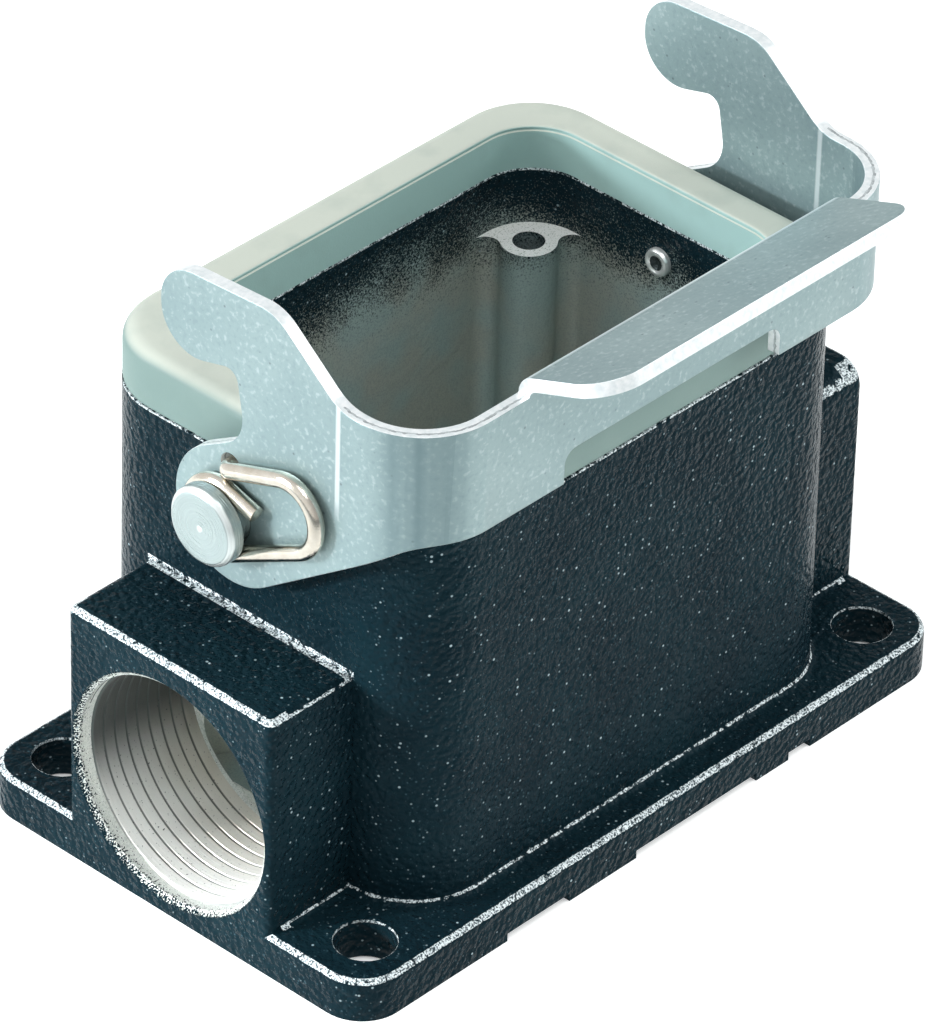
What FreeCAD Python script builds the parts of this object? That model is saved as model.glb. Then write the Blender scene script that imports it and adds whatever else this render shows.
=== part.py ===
import FreeCAD, Part
import Sketcher
import math
import os
import re

# Surface-mounted housing of a rectangular connector, with one locking lever.
# Frame: origin at the centre of the mounting face, +X towards the closed end,
# the cable entry at -X, the lever's handle on the -Y side, +Z up.

doc = FreeCAD.newDocument("surface_housing")
Vector = FreeCAD.Vector

# Driving dimensions in millimetres and degrees
SIZES = {
    "insert_spacing_x": 44.0,
    "insert_spacing_y": 27.0,
    "insert_hole_diameter": 3.3,
    "insert_hole_depth": 12.0,
    "column_radius": 2.9,
    "column_blend": 1.5,
    "column_gap_x": 4.3,
    "column_gap_y": 4.0,
    "column_drop": 5.4,
    "cavity_corner": 6.0,
    "floor_height": 3.6,
    "rim_height": 47.0,
    "rim_wall": 4.9,
    "rib_thickness": 1.9,
    "rib_height": 1.0,
    "well_corner": 8.5,
    "well_draft": 0.3,
    "foot_round": 0.9,
    "plate_thickness": 4.8,
    "plate_end": 10.9,
    "plate_side": 3.7,
    "plate_corner": 4.7,
    "plate_edge": 0.8,
    "foot_hole_end": 6.1,
    "foot_hole_side": 5.6,
    "foot_hole_diameter": 6.3,
    "foot_hole_chamfer": 0.45,
    "relief_length": 44.0,
    "relief_depth": 0.9,
    "relief_corner": 1.2,
    "relief_pad_near_length": 9.6,
    "relief_pad_far_length": 4.8,
    "relief_pad_width": 5.0,
    "relief_pad_near": 8.4,
    "relief_pad_far": 16.4,
    "bore_diameter": 24.9,
    "bore_chamfer": 0.5,
    "bore_floor": 1.95,
    "bore_wall": 1.15,
    "bore_roof": 3.05,
    "cable_boss_edge": 0.9,
    "closed_boss_width": 27.8,
    "closed_boss_height": 30.6,
    "closed_boss_side_edge": 2.8,
    "closed_boss_end_edge": 0.9,
    "boss_foot": 0.7,
    "seal_inset": 0.3,
    "seal_height": 5.9,
    "seal_round": 1.6,
    "seal_lip": 0.4,
    "seal_play": 0.05,
    "pivot_drop": 3.5,
    "pin_shank_radius": 1.35,
    "pin_seat_play": 0.03,
    "pin_collar_radius": 4.4,
    "pin_journal_radius": 3.0,
    "pin_groove_radius": 2.85,
    "pin_head_radius": 4.2,
    "pin_head_thickness": 1.8,
    "pin_head_chamfer": 0.45,
    "pin_rivet_lip": 0.2,
    "pin_rivet_height": 0.7,
    "pin_dimple_depth": 0.4,
    "pin_play": 0.08,
    "lever_sheet": 1.5,
    "lever_corner": 8.5,
    "lever_end_gap": 1.55,
    "lever_side_gap": 1.3,
    "lever_side_play": 0.1,
    "lobe_wall": 4.4,
    "lobe_offset": 0.6,
    "lobe_drop": 0.2,
    "lobe_slope": 35.5,
    "heel_radius": 6.0,
    "hook_radius": 4.4,
    "hook_rise": 24.6,
    "hook_crown": 0.8,
    "hook_back": 5.9,
    "hook_chin": 10.5,
    "back_radius": 5.0,
    "saddle_reach": 14.3,
    "throat_radius": 1.4,
    "throat_back": 1.0,
    "throat_rise": 16.8,
    "throat_floor_back": 2.3,
    "throat_floor_lift": 2.0,
    "throat_floor_radius": 4.0,
    "strip_lift": 2.8,
    "strip_width": 12.2,
    "window_half_length": 15.1,
    "window_height": 3.5,
    "window_corner": 1.5,
    "handle_near": 20.3,
    "handle_far": 22.9,
    "handle_tilt": 20.0,
    "handle_reach": 10.0,
    "handle_bend": 1.0,
    "handle_corner_near": 4.5,
    "handle_corner_far": 2.8,
    "wire_radius": 0.85,
    "wire_play": 0.12,
    "wire_stand_off": 0.1,
    "wire_hole_play": 0.45,
    "clip_end_back": 4.8,
    "clip_end_rise": 2.6,
    "clip_low_back": 9.8,
    "clip_low_rise": 0.8,
    "clip_low_bend": 3.6,
    "clip_reach": 12.5,
    "clip_high_back": 8.4,
    "clip_high_rise": 8.4,
    "clip_high_bend": 3.5,
    "clip_leg_back": 0.45,
    "clip_leg_rise": 5.62,
    "clip_leg_bend": 1.1,
}

# Sizes that follow from them: each piece is built round what it holds
FITS = {
    "cavity_length": "=insert_spacing_x + 2 * =column_gap_x",
    "cavity_width": "=insert_spacing_y + 2 * =column_gap_y",
    "well_length": "=cavity_length + 2 * =rim_wall",
    "well_width": "=cavity_width + 2 * =rim_wall",
    "plate_length": "=well_length + 2 * =plate_end",
    "plate_width": "=well_width + 2 * =plate_side",
    "foot_hole_spacing_x": "=plate_length - 2 * =foot_hole_end",
    "foot_hole_spacing_y": "=plate_width - 2 * =foot_hole_side",
    "column_height": "=rim_height - =column_drop",
    "bore_height": "=bore_floor + =bore_diameter / 2",
    "cable_boss_width": "=bore_diameter + 2 * =bore_wall",
    "cable_boss_height": "=bore_height + =bore_diameter / 2 + =bore_roof",
    "seal_length": "=well_length - 2 * =seal_inset",
    "seal_width": "=well_width - 2 * =seal_inset",
    "seal_corner": "=well_corner - =seal_inset",
    "pivot_height": "=rim_height - =pivot_drop",
    "lever_half_length": "=well_length / 2 + =lever_end_gap + =lever_sheet",
    "lever_half_width": "=well_width / 2 + =lever_side_gap + =lever_sheet",
    "lobe_radius": "=pin_journal_radius + =lobe_wall",
    "hook_height": "=pivot_height + =hook_rise",
    "strip_bottom": "=rim_height + =strip_lift",
    "strip_top": "=strip_bottom + =strip_width",
    "pin_rivet_radius": "=pin_shank_radius + =pin_rivet_lip",
}
sheet = doc.addObject("Spreadsheet::Sheet", "Sizes")
for row, (name, value) in enumerate(SIZES.items(), 1):
    sheet.set(f"A{row}", name)
    sheet.set(f"B{row}", str(value))
    sheet.setAlias(f"B{row}", name)
fits = doc.addObject("Spreadsheet::Sheet", "Fits")


def spell(expression):
    """Writes out an expression in which a size is marked =name."""
    return re.sub(r"=(\w+)", lambda mark: ("Fits." if mark[1] in FITS else "Sizes.") + mark[1], expression)


for row, (name, formula) in enumerate(FITS.items(), 1):
    fits.set(f"A{row}", name)
    fits.set(f"B{row}", "=" + spell(formula))
    fits.setAlias(f"B{row}", name)
doc.recompute()


def size(name):
    """One size, read back from its sheet."""
    return float((fits if name in FITS else sheet).get(name))


def worth(expression):
    """What an expression comes to with the sizes as they are."""
    return float(sheet.evalExpression(spell(expression)))


def bind(item, path, expression):
    """Ties one property to the sheets."""
    item.setExpression(path, spell(expression))


def new_body(name):
    body = doc.addObject("PartDesign::Body", name)
    body.Label = name
    return body


def new_sketch(body, name, plane, lift=None):
    """A sketch on one of the body's own planes, lifted off it by an expression."""
    sketch = body.newObject("Sketcher::SketchObject", name)
    origin = [f for f in body.Origin.OriginFeatures if f.Role == plane][0]
    sketch.AttachmentSupport = [(origin, "")]
    sketch.MapMode = "FlatFace"
    if lift:
        bind(sketch, "AttachmentOffset.Base.z", lift)
    return sketch


def new_feature(body, kind, name, profile):
    item = body.newObject("PartDesign::" + kind, name)
    item.Profile = profile
    return item


def pad(body, name, profile, length):
    item = new_feature(body, "Pad", name, profile)
    bind(item, "Length", length)
    return item


def pocket(body, name, profile, length=None, reversed_way=False):
    """A cut to a bound depth, or right through both ways when no depth is given."""
    item = new_feature(body, "Pocket", name, profile)
    item.Reversed = reversed_way
    if length:
        bind(item, "Length", length)
    else:
        item.SideType = "Symmetric"
        item.Type = "ThroughAll"
    return item


def dress(body, kind, name, base, test, path, amount):
    """A fillet or chamfer on the edges of the last feature that pass a test."""
    doc.recompute()
    names = [
        f"Edge{number}"
        for number, edge in enumerate(base.Shape.Edges, 1)
        if test(edge.BoundBox, edge)
    ]
    item = body.newObject("PartDesign::" + kind, name)
    item.Base = (base, names)
    bind(item, path, amount)
    return item


def near(first, second, tolerance=0.02):
    return abs(first - second) < tolerance


def hold(sketch, kind, geometry, place, expression):
    """Holds a point of the sketch at a distance from its origin."""
    index = sketch.addConstraint(Sketcher.Constraint(kind, -1, 1, geometry, place, worth(expression)))
    bind(sketch, f"Constraints[{index}]", expression)


def rounded_rectangle(sketch, length, width, corner):
    """A centred rectangle with round corners, tied to three expressions."""
    half_x, half_y, radius = worth(length) / 2, worth(width) / 2, worth(corner)
    x, y = half_x - radius, half_y - radius
    first = sketch.GeometryCount
    sides = [
        ((-x, -half_y), (x, -half_y)),
        ((half_x, -y), (half_x, y)),
        ((x, half_y), (-x, half_y)),
        ((-half_x, y), (-half_x, -y)),
    ]
    for start, end in sides:
        sketch.addGeometry(Part.LineSegment(Vector(*start, 0), Vector(*end, 0)), False)
    for number, centre in enumerate(((x, -y), (x, y), (-x, y), (-x, -y))):
        start = math.radians(-90 + 90 * number)
        circle = Part.Circle(Vector(*centre, 0), Vector(0, 0, 1), radius)
        sketch.addGeometry(Part.ArcOfCircle(circle, start, start + math.pi / 2), False)
    for number in range(4):
        arc = first + 4 + number
        following = first + (number + 1) % 4
        sketch.addConstraint(Sketcher.Constraint("Tangent", first + number, 2, arc, 1))
        sketch.addConstraint(Sketcher.Constraint("Tangent", arc, 2, following, 1))
    for number in (0, 2):
        sketch.addConstraint(Sketcher.Constraint("Horizontal", first + number))
        sketch.addConstraint(Sketcher.Constraint("Vertical", first + number + 1))
    for arc in (5, 6, 7):
        sketch.addConstraint(Sketcher.Constraint("Equal", first + 4, first + arc))
    index = sketch.addConstraint(Sketcher.Constraint("Radius", first + 4, radius))
    bind(sketch, f"Constraints[{index}]", corner)
    hold(sketch, "DistanceX", first + 1, 1, f"({length}) / 2")
    hold(sketch, "DistanceX", first + 3, 1, f"-({length}) / 2")
    hold(sketch, "DistanceY", first + 2, 1, f"({width}) / 2")
    hold(sketch, "DistanceY", first, 1, f"-({width}) / 2")


def rectangle(sketch, left, right, bottom, top):
    """A rectangle between four expressions."""
    x_start, x_end, y_start, y_end = [worth(side) for side in (left, right, bottom, top)]
    corners = [(x_start, y_start), (x_end, y_start), (x_end, y_end), (x_start, y_end)]
    first = sketch.GeometryCount
    for number in range(4):
        start, end = corners[number], corners[(number + 1) % 4]
        sketch.addGeometry(Part.LineSegment(Vector(*start, 0), Vector(*end, 0)), False)
    for number in range(4):
        following = first + (number + 1) % 4
        sketch.addConstraint(Sketcher.Constraint("Coincident", first + number, 2, following, 1))
    for number in (0, 2):
        sketch.addConstraint(Sketcher.Constraint("Horizontal", first + number))
        sketch.addConstraint(Sketcher.Constraint("Vertical", first + number + 1))
    hold(sketch, "DistanceX", first, 1, left)
    hold(sketch, "DistanceX", first + 1, 1, right)
    hold(sketch, "DistanceY", first, 1, bottom)
    hold(sketch, "DistanceY", first + 2, 1, top)


def circles(sketch, places, radius):
    """Circles of one radius, their centres held by pairs of expressions."""
    for across, up in places:
        middle = Vector(worth(across), worth(up), 0)
        index = sketch.addGeometry(Part.Circle(middle, Vector(0, 0, 1), worth(radius)), False)
        hold(sketch, "DistanceX", index, 3, across)
        hold(sketch, "DistanceY", index, 3, up)
        tie = sketch.addConstraint(Sketcher.Constraint("Radius", index, worth(radius)))
        bind(sketch, f"Constraints[{tie}]", radius)


def four_places(across, up):
    """The four corners of a centred hole pattern, as pairs of expressions."""
    return [(f"{a}{across} / 2", f"{b}{up} / 2") for a in ("", "-") for b in ("", "-")]


def rounded_edges(corners):
    """Lines and arcs round a closed outline whose corners are (across, up, radius)."""
    count = len(corners)
    joints = []
    for number, (x, y, radius) in enumerate(corners):
        here = Vector(x, y, 0)
        before = Vector(*corners[number - 1][:2], 0) - here
        after = Vector(*corners[(number + 1) % count][:2], 0) - here
        before.normalize()
        after.normalize()
        if radius == 0:
            joints.append((here, None, here))
            continue
        half = before.getAngle(after) / 2
        reach = radius / math.tan(half)
        middle = before + after
        middle.normalize()
        centre = here + middle * (radius / math.sin(half))
        joints.append((here + before * reach, centre - middle * radius, here + after * reach))
    edges = []
    for number, (start, middle, end) in enumerate(joints):
        if middle is not None:
            edges.append(Part.Arc(start, middle, end))
        following = joints[(number + 1) % count][0]
        if (following - end).Length > 1e-6:
            edges.append(Part.LineSegment(end, following))
    return edges


def draw(sketch, edges):
    """Puts edges into a sketch and holds them where the dimensions place them."""
    for edge in edges:
        index = sketch.addGeometry(edge, False)
        sketch.addConstraint(Sketcher.Constraint("Block", index))


def crossing(point, direction, other, other_direction):
    """Where two lines of a plane meet, each given by a point and a direction."""
    turn = direction.x * other_direction.y - direction.y * other_direction.x
    apart = other - point
    along = (apart.x * other_direction.y - apart.y * other_direction.x) / turn
    return point + direction * along


def tangent_from(point, centre, radius, side):
    """The direction from a point to where its tangent touches a circle."""
    apart = centre - point
    swing = side * math.asin(radius / apart.Length)
    apart.normalize()
    turned = Vector(apart.x * math.cos(swing) - apart.y * math.sin(swing),
                    apart.x * math.sin(swing) + apart.y * math.cos(swing), 0)
    return turned


half_plate = size("plate_length") / 2
plate_top = size("plate_thickness")
pivot = Vector(0, size("pivot_height"), 0)

# Housing: one aluminium casting. The foot plate comes first, its top edge rounded.
housing = new_body("housing")

outline = new_sketch(housing, "PlateOutline", "XY_Plane")
rounded_rectangle(outline, "=plate_length", "=plate_width", "=plate_corner")
plate = pad(housing, "Plate", outline, "=plate_thickness")
plate_edge = dress(housing, "Fillet", "PlateEdge", plate,
                   lambda box, edge: near(box.ZMin, plate_top) and near(box.ZMax, plate_top),
                   "Radius", "=plate_edge")

outline = new_sketch(housing, "WellOutline", "XY_Plane")
rounded_rectangle(outline, "=well_length", "=well_width", "=well_corner")
well = pad(housing, "Well", outline, "=rim_height")
bind(well, "TaperAngle", "-=well_draft")
foot = dress(housing, "Fillet", "FootRound", well,
             lambda box, edge: near(box.ZMin, plate_top) and near(box.ZMax, plate_top)
             and box.XMax < half_plate - 1.5 * size("plate_edge")
             and box.XMin > 1.5 * size("plate_edge") - half_plate
             and abs(box.Center.y) < size("plate_width") / 2 - 1.5 * size("plate_edge"),
             "Radius", "=foot_round")

# Two end bosses grow from inside the well's end walls out to the plate's ends
outline = new_sketch(housing, "CableBossOutline", "XY_Plane")
rectangle(outline, "-=plate_length / 2", "-=cavity_length / 2 - =rim_wall / 2",
          "-=cable_boss_width / 2", "=cable_boss_width / 2")
cable_boss = pad(housing, "CableBoss", outline, "=cable_boss_height")

outline = new_sketch(housing, "ClosedBossOutline", "XY_Plane")
rectangle(outline, "=cavity_length / 2 + =rim_wall / 2", "=plate_length / 2",
          "-=closed_boss_width / 2", "=closed_boss_width / 2")
closed_boss = pad(housing, "ClosedBoss", outline, "=closed_boss_height")

cable_boss_top = size("cable_boss_height")
closed_boss_top = size("closed_boss_height")


def cable_boss_edges(box, edge):
    """The boss's two upright front edges and the edges round its top."""
    front = near(box.XMin, -half_plate) and near(box.XMax, -half_plate)
    upright = front and near(box.ZMax, cable_boss_top) and box.ZMin < plate_top + 1
    level = near(box.ZMin, cable_boss_top) and near(box.ZMax, cable_boss_top)
    along = level and near(box.YMin, box.YMax) and box.XMax < 0
    return upright or along or (level and front)


def closed_boss_sides(box, edge):
    level = near(box.ZMin, closed_boss_top) and near(box.ZMax, closed_boss_top)
    return level and near(box.YMin, box.YMax) and box.XMin > 0


def closed_boss_end(box, edge):
    return near(box.XMin, half_plate) and near(box.XMax, half_plate) and box.ZMax > plate_top + 1


cable_boss_round = dress(housing, "Fillet", "CableBossEdges", closed_boss,
                         cable_boss_edges, "Radius", "=cable_boss_edge")
closed_boss_round = dress(housing, "Fillet", "ClosedBossSides", cable_boss_round,
                          closed_boss_sides, "Radius", "=closed_boss_side_edge")
closed_boss_face = dress(housing, "Fillet", "ClosedBossEnd", closed_boss_round,
                         closed_boss_end, "Radius", "=closed_boss_end_edge")

# Hollow rounds where the bosses' sides meet the plate
flare, sunk = size("boss_foot"), size("boss_foot") / 2


def boss_feet(name, half_width, lift):
    """Two wedges with a hollow face, seen along X, one at each side of a boss."""
    sketch = new_sketch(housing, name, "YZ_Plane", lift)
    slant = flare * (1 - math.sqrt(0.5))
    corners = [
        (half_width - sunk, plate_top - sunk), (half_width + flare, plate_top - sunk),
        (half_width + flare, plate_top), (half_width + slant, plate_top + slant),
        (half_width, plate_top + flare), (half_width - sunk, plate_top + flare),
    ]
    for side in (1, -1):
        inner, outer, foot, middle, head, back = [Vector(side * x, y, 0) for x, y in corners]
        draw(sketch, [Part.LineSegment(inner, outer), Part.LineSegment(outer, foot),
                      Part.Arc(foot, middle, head), Part.LineSegment(head, back),
                      Part.LineSegment(back, inner)])
    return sketch


outline = boss_feet("CableBossFeet", size("cable_boss_width") / 2, "-=plate_length / 2 + 2 * =plate_edge")
cable_feet = pad(housing, "CableFeet", outline, "=plate_end")
outline = boss_feet("ClosedBossFeet", size("closed_boss_width") / 2,
                    "=plate_length / 2 - =plate_end - 2 * =plate_edge")
closed_feet = pad(housing, "ClosedFeet", outline, "=plate_end")

# Rim: a rib stands inside the flat ledge, and the seal sits over both
outline = new_sketch(housing, "RibOutline", "XY_Plane", "=rim_height")
rounded_rectangle(outline, "=cavity_length + 2 * =rib_thickness",
                  "=cavity_width + 2 * =rib_thickness", "=cavity_corner + =rib_thickness")
rib = pad(housing, "Rib", outline, "=rib_height")

# Cavity: open above the columns, and between them down to the floor
outline = new_sketch(housing, "MouthOutline", "XY_Plane", "=rim_height + =rib_height")
rounded_rectangle(outline, "=cavity_length", "=cavity_width", "=cavity_corner")
mouth = pocket(housing, "Mouth", outline, "=rim_height + =rib_height - =column_height")


def column_edges(side_x, side_y):
    """One insert column in a corner: blend, round front, blend, from wall to wall."""
    wall_x, wall_y = size("cavity_length") / 2, size("cavity_width") / 2
    radius, blend = size("column_radius"), size("column_blend")
    centre = Vector(size("insert_spacing_x") / 2, size("insert_spacing_y") / 2, 0)
    rise = wall_y - blend - centre.y
    run = wall_x - blend - centre.x
    end_blend = Vector(centre.x - math.sqrt((radius + blend) ** 2 - rise ** 2), wall_y - blend, 0)
    side_blend = Vector(wall_x - blend, centre.y - math.sqrt((radius + blend) ** 2 - run ** 2), 0)

    def arc(middle, start, end, length, outward):
        direction = (start - middle) + (end - middle)
        direction.normalize()
        point = middle + direction * (length * outward)
        return [start, point, end]

    touch_end = end_blend + (centre - end_blend) * (blend / (radius + blend))
    touch_side = side_blend + (centre - side_blend) * (blend / (radius + blend))
    pieces = [
        arc(end_blend, Vector(end_blend.x, wall_y, 0), touch_end, blend, 1),
        arc(centre, touch_end, touch_side, radius, 1),
        arc(side_blend, touch_side, Vector(wall_x, side_blend.y, 0), blend, 1),
    ]
    mirrored = [[Vector(p.x * side_x, p.y * side_y, 0) for p in piece] for piece in pieces]
    if side_x * side_y < 0:
        mirrored = [piece[::-1] for piece in mirrored[::-1]]
    return [Part.Arc(*piece) for piece in mirrored]


outline = new_sketch(housing, "CavityOutline", "XY_Plane", "=column_height")
corner_arcs = [column_edges(*side) for side in ((1, 1), (1, -1), (-1, -1), (-1, 1))]
cavity_edges = []
for number, arcs in enumerate(corner_arcs):
    following = corner_arcs[(number + 1) % 4]
    cavity_edges += arcs
    cavity_edges.append(Part.LineSegment(arcs[-1].EndPoint, following[0].StartPoint))
draw(outline, cavity_edges)
cavity = pocket(housing, "Cavity", outline, "=column_height - =floor_height")

outline = new_sketch(housing, "InsertHoleCircles", "XY_Plane", "=column_height")
circles(outline, four_places("=insert_spacing_x", "=insert_spacing_y"), "=insert_hole_diameter / 2")
insert_holes = pocket(housing, "InsertHoles", outline, "=insert_hole_depth")

# Cable entry: bored from the boss's face into the cavity
outline = new_sketch(housing, "BoreCircle", "YZ_Plane", "-=plate_length / 2")
circles(outline, [("0", "=bore_height")], "=bore_diameter / 2")
bore = pocket(housing, "Bore", outline, "=plate_length / 2 - =cavity_length / 2 + 0.3", True)
bore_mouth = dress(housing, "Chamfer", "BoreMouth", bore,
                   lambda box, edge: near(box.XMin, -half_plate) and near(box.XMax, -half_plate)
                   and near(box.ZMax, size("bore_height") + size("bore_diameter") / 2, 0.05),
                   "Size", "=bore_chamfer")

outline = new_sketch(housing, "FootHoleCircles", "XY_Plane", "=plate_thickness")
circles(outline, four_places("=foot_hole_spacing_x", "=foot_hole_spacing_y"), "=foot_hole_diameter / 2")
foot_holes = pocket(housing, "FootHoles", outline)
# Each foot hole is broken at the mounting face
foot_mouths = dress(housing, "Chamfer", "FootHoleMouths", foot_holes,
                    lambda box, edge: near(box.ZMin, 0) and near(box.ZMax, 0)
                    and near(box.XMax - box.XMin, size("foot_hole_diameter"), 0.05)
                    and near(box.YMax - box.YMin, size("foot_hole_diameter"), 0.05),
                    "Size", "=foot_hole_chamfer")

# Underside: relieved between the two ends, with two small pads on each long edge
outline = new_sketch(housing, "ReliefOutline", "XY_Plane")
relief_end, relief_side = size("relief_length") / 2, size("plate_width") / 2 + 1
pad_inside = size("plate_width") / 2 - size("relief_pad_width")
soft = size("relief_corner")
side_corners = [(-relief_end, -relief_side, 0)]
for middle, length in ((-size("relief_pad_near"), size("relief_pad_near_length")),
                       (size("relief_pad_far"), size("relief_pad_far_length"))):
    half_pad = length / 2
    side_corners += [
        (middle - half_pad, -relief_side, 0), (middle - half_pad, -pad_inside, soft),
        (middle + half_pad, -pad_inside, soft), (middle + half_pad, -relief_side, 0),
    ]
side_corners.append((relief_end, -relief_side, 0))
other_side = [(across, -up, radius) for across, up, radius in reversed(side_corners)]
draw(outline, rounded_edges(side_corners + other_side))
relief = pocket(housing, "Relief", outline, "=relief_depth", True)

outline = new_sketch(housing, "PinSeatCircle", "YZ_Plane")
circles(outline, [("0", "=pivot_height")], "=pin_shank_radius + =pin_seat_play")
pin_seats = pocket(housing, "PinSeats", outline)

# Rim seal: one moulded elastomer frame, stepped underneath to sit over the rib
rim_seal = new_body("rim_seal")
outline = new_sketch(rim_seal, "SealOutline", "XY_Plane", "=rim_height")
rounded_rectangle(outline, "=seal_length", "=seal_width", "=seal_corner")
rounded_rectangle(outline, "=cavity_length", "=cavity_width", "=cavity_corner")
seal_ring = pad(rim_seal, "SealRing", outline, "=seal_height")
outline = new_sketch(rim_seal, "SealStepOutline", "XY_Plane", "=rim_height")
rounded_rectangle(outline, "=cavity_length + 2 * (=rib_thickness + =seal_play)",
                  "=cavity_width + 2 * (=rib_thickness + =seal_play)",
                  "=cavity_corner + =rib_thickness + =seal_play")
seal_step = pocket(rim_seal, "SealStep", outline, "=rib_height", True)
seal_top = size("rim_height") + size("seal_height")


def seal_top_edge(outer):
    """A test for the top edges outside, or inside, the middle of the seal's wall."""
    wall_x = (size("seal_length") + size("cavity_length")) / 4
    wall_y = (size("seal_width") + size("cavity_width")) / 4

    def test(box, edge):
        if not (near(box.ZMin, seal_top) and near(box.ZMax, seal_top)):
            return False
        reach = max(max(abs(box.XMin), abs(box.XMax)) - wall_x, max(abs(box.YMin), abs(box.YMax)) - wall_y)
        return (reach > 0) == outer

    return test


seal_round = dress(rim_seal, "Fillet", "SealRound", seal_step, seal_top_edge(True),
                   "Radius", "=seal_round")
seal_lip = dress(rim_seal, "Fillet", "SealLip", seal_round, seal_top_edge(False),
                 "Radius", "=seal_lip")

# Pivot pins: turned, riveted in the end walls; collar, journal, clip groove and head
wire_plane = size("lever_half_length") + size("wire_stand_off") + size("wire_radius")
collar_foot = pivot.y - size("pin_collar_radius")
wall_outside = size("well_length") / 2 - collar_foot * math.tan(math.radians(size("well_draft")))
wall_inside = size("cavity_length") / 2
lever_inside = size("lever_half_length") - size("lever_sheet")
head_back = wire_plane + size("wire_radius") + size("wire_play")
head_front = head_back + size("pin_head_thickness")
rivet_tip = wall_inside - size("pin_rivet_height")
pin_profile = [
    (rivet_tip + size("pin_dimple_depth"), 0),
    (rivet_tip, size("pin_rivet_radius") / 2),
    (rivet_tip, size("pin_rivet_radius") * 0.8),
    (wall_inside, size("pin_rivet_radius")),
    (wall_inside, size("pin_shank_radius")),
    (wall_outside, size("pin_shank_radius")),
    (wall_outside, size("pin_collar_radius")),
    (lever_inside - size("lever_side_play"), size("pin_collar_radius")),
    (lever_inside - size("lever_side_play"), size("pin_journal_radius")),
    (size("lever_half_length"), size("pin_journal_radius")),
    (size("lever_half_length"), size("pin_groove_radius")),
    (head_back, size("pin_groove_radius")),
    (head_back, size("pin_head_radius")),
    (head_front - size("pin_head_chamfer"), size("pin_head_radius")),
    (head_front, size("pin_head_radius") - size("pin_head_chamfer")),
    (head_front, 0),
]


def pivot_pin(name, turn):
    """One pin, turned about its own axis and set in the end wall that it faces."""
    body = new_body(name)
    profile = new_sketch(body, name + "_profile", "XY_Plane")
    draw(profile, rounded_edges([(along, radius, 0) for along, radius in pin_profile]))
    turned = new_feature(body, "Revolution", name + "_turned", profile)
    turned.ReferenceAxis = (profile, ["H_Axis"])
    turned.Angle = 360
    body.Placement = FreeCAD.Placement(Vector(0, 0, 0), FreeCAD.Rotation(Vector(0, 0, 1), turn))
    bind(body, "Placement.Base.z", "=pivot_height")
    return body


pins = [pivot_pin("pivot_pin_cable_end", 180), pivot_pin("pivot_pin_closed_end", 0)]

# Locking lever: one folded sheet. A band bent into a U, trimmed to the side outline.
lever = new_body("locking_lever")
half_x, half_y = size("lever_half_length"), size("lever_half_width")
gauge, bend = size("lever_sheet"), size("lever_corner")
arm_end = size("hook_radius") * 2.5
band_corners = [
    (-half_x, arm_end, 0), (-half_x, -half_y, bend), (half_x, -half_y, bend), (half_x, arm_end, 0),
    (half_x - gauge, arm_end, 0), (half_x - gauge, gauge - half_y, bend - gauge),
    (gauge - half_x, gauge - half_y, bend - gauge), (gauge - half_x, arm_end, 0),
]
outline = new_sketch(lever, "BandOutline", "XY_Plane", "=pivot_height - 2 * =lobe_radius")
draw(outline, rounded_edges(band_corners))
band = pad(lever, "Band", outline, "=hook_height - =pivot_height + 3 * =lobe_radius")

# Side outline: hooked nose, throat, lobe round the pivot, rising lower edge
lobe, slope = size("lobe_radius"), math.radians(size("lobe_slope"))
hook, hook_top = size("hook_radius"), size("hook_height")
lobe_centre = pivot - Vector(size("lobe_offset"), size("lobe_drop"), 0)
lobe_front = lobe_centre + Vector(lobe, 0, 0)
plumb = Vector(0, 1, 0)
throat_top = pivot + Vector(-size("throat_back"), size("throat_rise"), 0)
throat_foot = pivot + Vector(-size("throat_floor_back"), lobe + size("throat_floor_lift"), 0)
nose = Vector(2 * hook, hook_top, 0)
chin = nose - Vector(0, size("hook_chin"), 0)
shoulder = Vector(-size("hook_back"), hook_top + size("hook_crown"), 0)
saddle = Vector(-size("saddle_reach"), size("strip_top"), 0)
rise = Vector(-math.cos(slope), math.sin(slope), 0)
under = lobe_centre + Vector(-math.sin(slope), -math.cos(slope), 0) * lobe
heel = crossing(under, rise, Vector(0, size("strip_bottom"), 0), Vector(-1, 0, 0))
over = tangent_from(throat_foot, lobe_centre, lobe, 1)
lobe_top = crossing(throat_foot, over, lobe_front, plumb)
lobe_foot = crossing(under, rise, lobe_front, plumb)
side_corners = [
    (nose.x, nose.y, hook), (shoulder.x, shoulder.y, size("back_radius")),
    (saddle.x, saddle.y, size("back_radius")),
    (-2 * half_y, saddle.y, 0), (-2 * half_y, heel.y, 0), (heel.x, heel.y, size("heel_radius")),
    (lobe_foot.x, lobe_foot.y, lobe), (lobe_top.x, lobe_top.y, lobe),
    (throat_foot.x, throat_foot.y, size("throat_floor_radius")),
    (throat_top.x, throat_top.y, size("throat_radius")), (chin.x, chin.y, hook),
]
beyond = 4 * half_y
outline = new_sketch(lever, "SideOutline", "YZ_Plane")
draw(outline, rounded_edges([(-beyond, -beyond, 0), (beyond, -beyond, 0),
                             (beyond, 2 * beyond, 0), (-beyond, 2 * beyond, 0)]))
draw(outline, rounded_edges(side_corners))
sides = pocket(lever, "SideTrim", outline)

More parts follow.
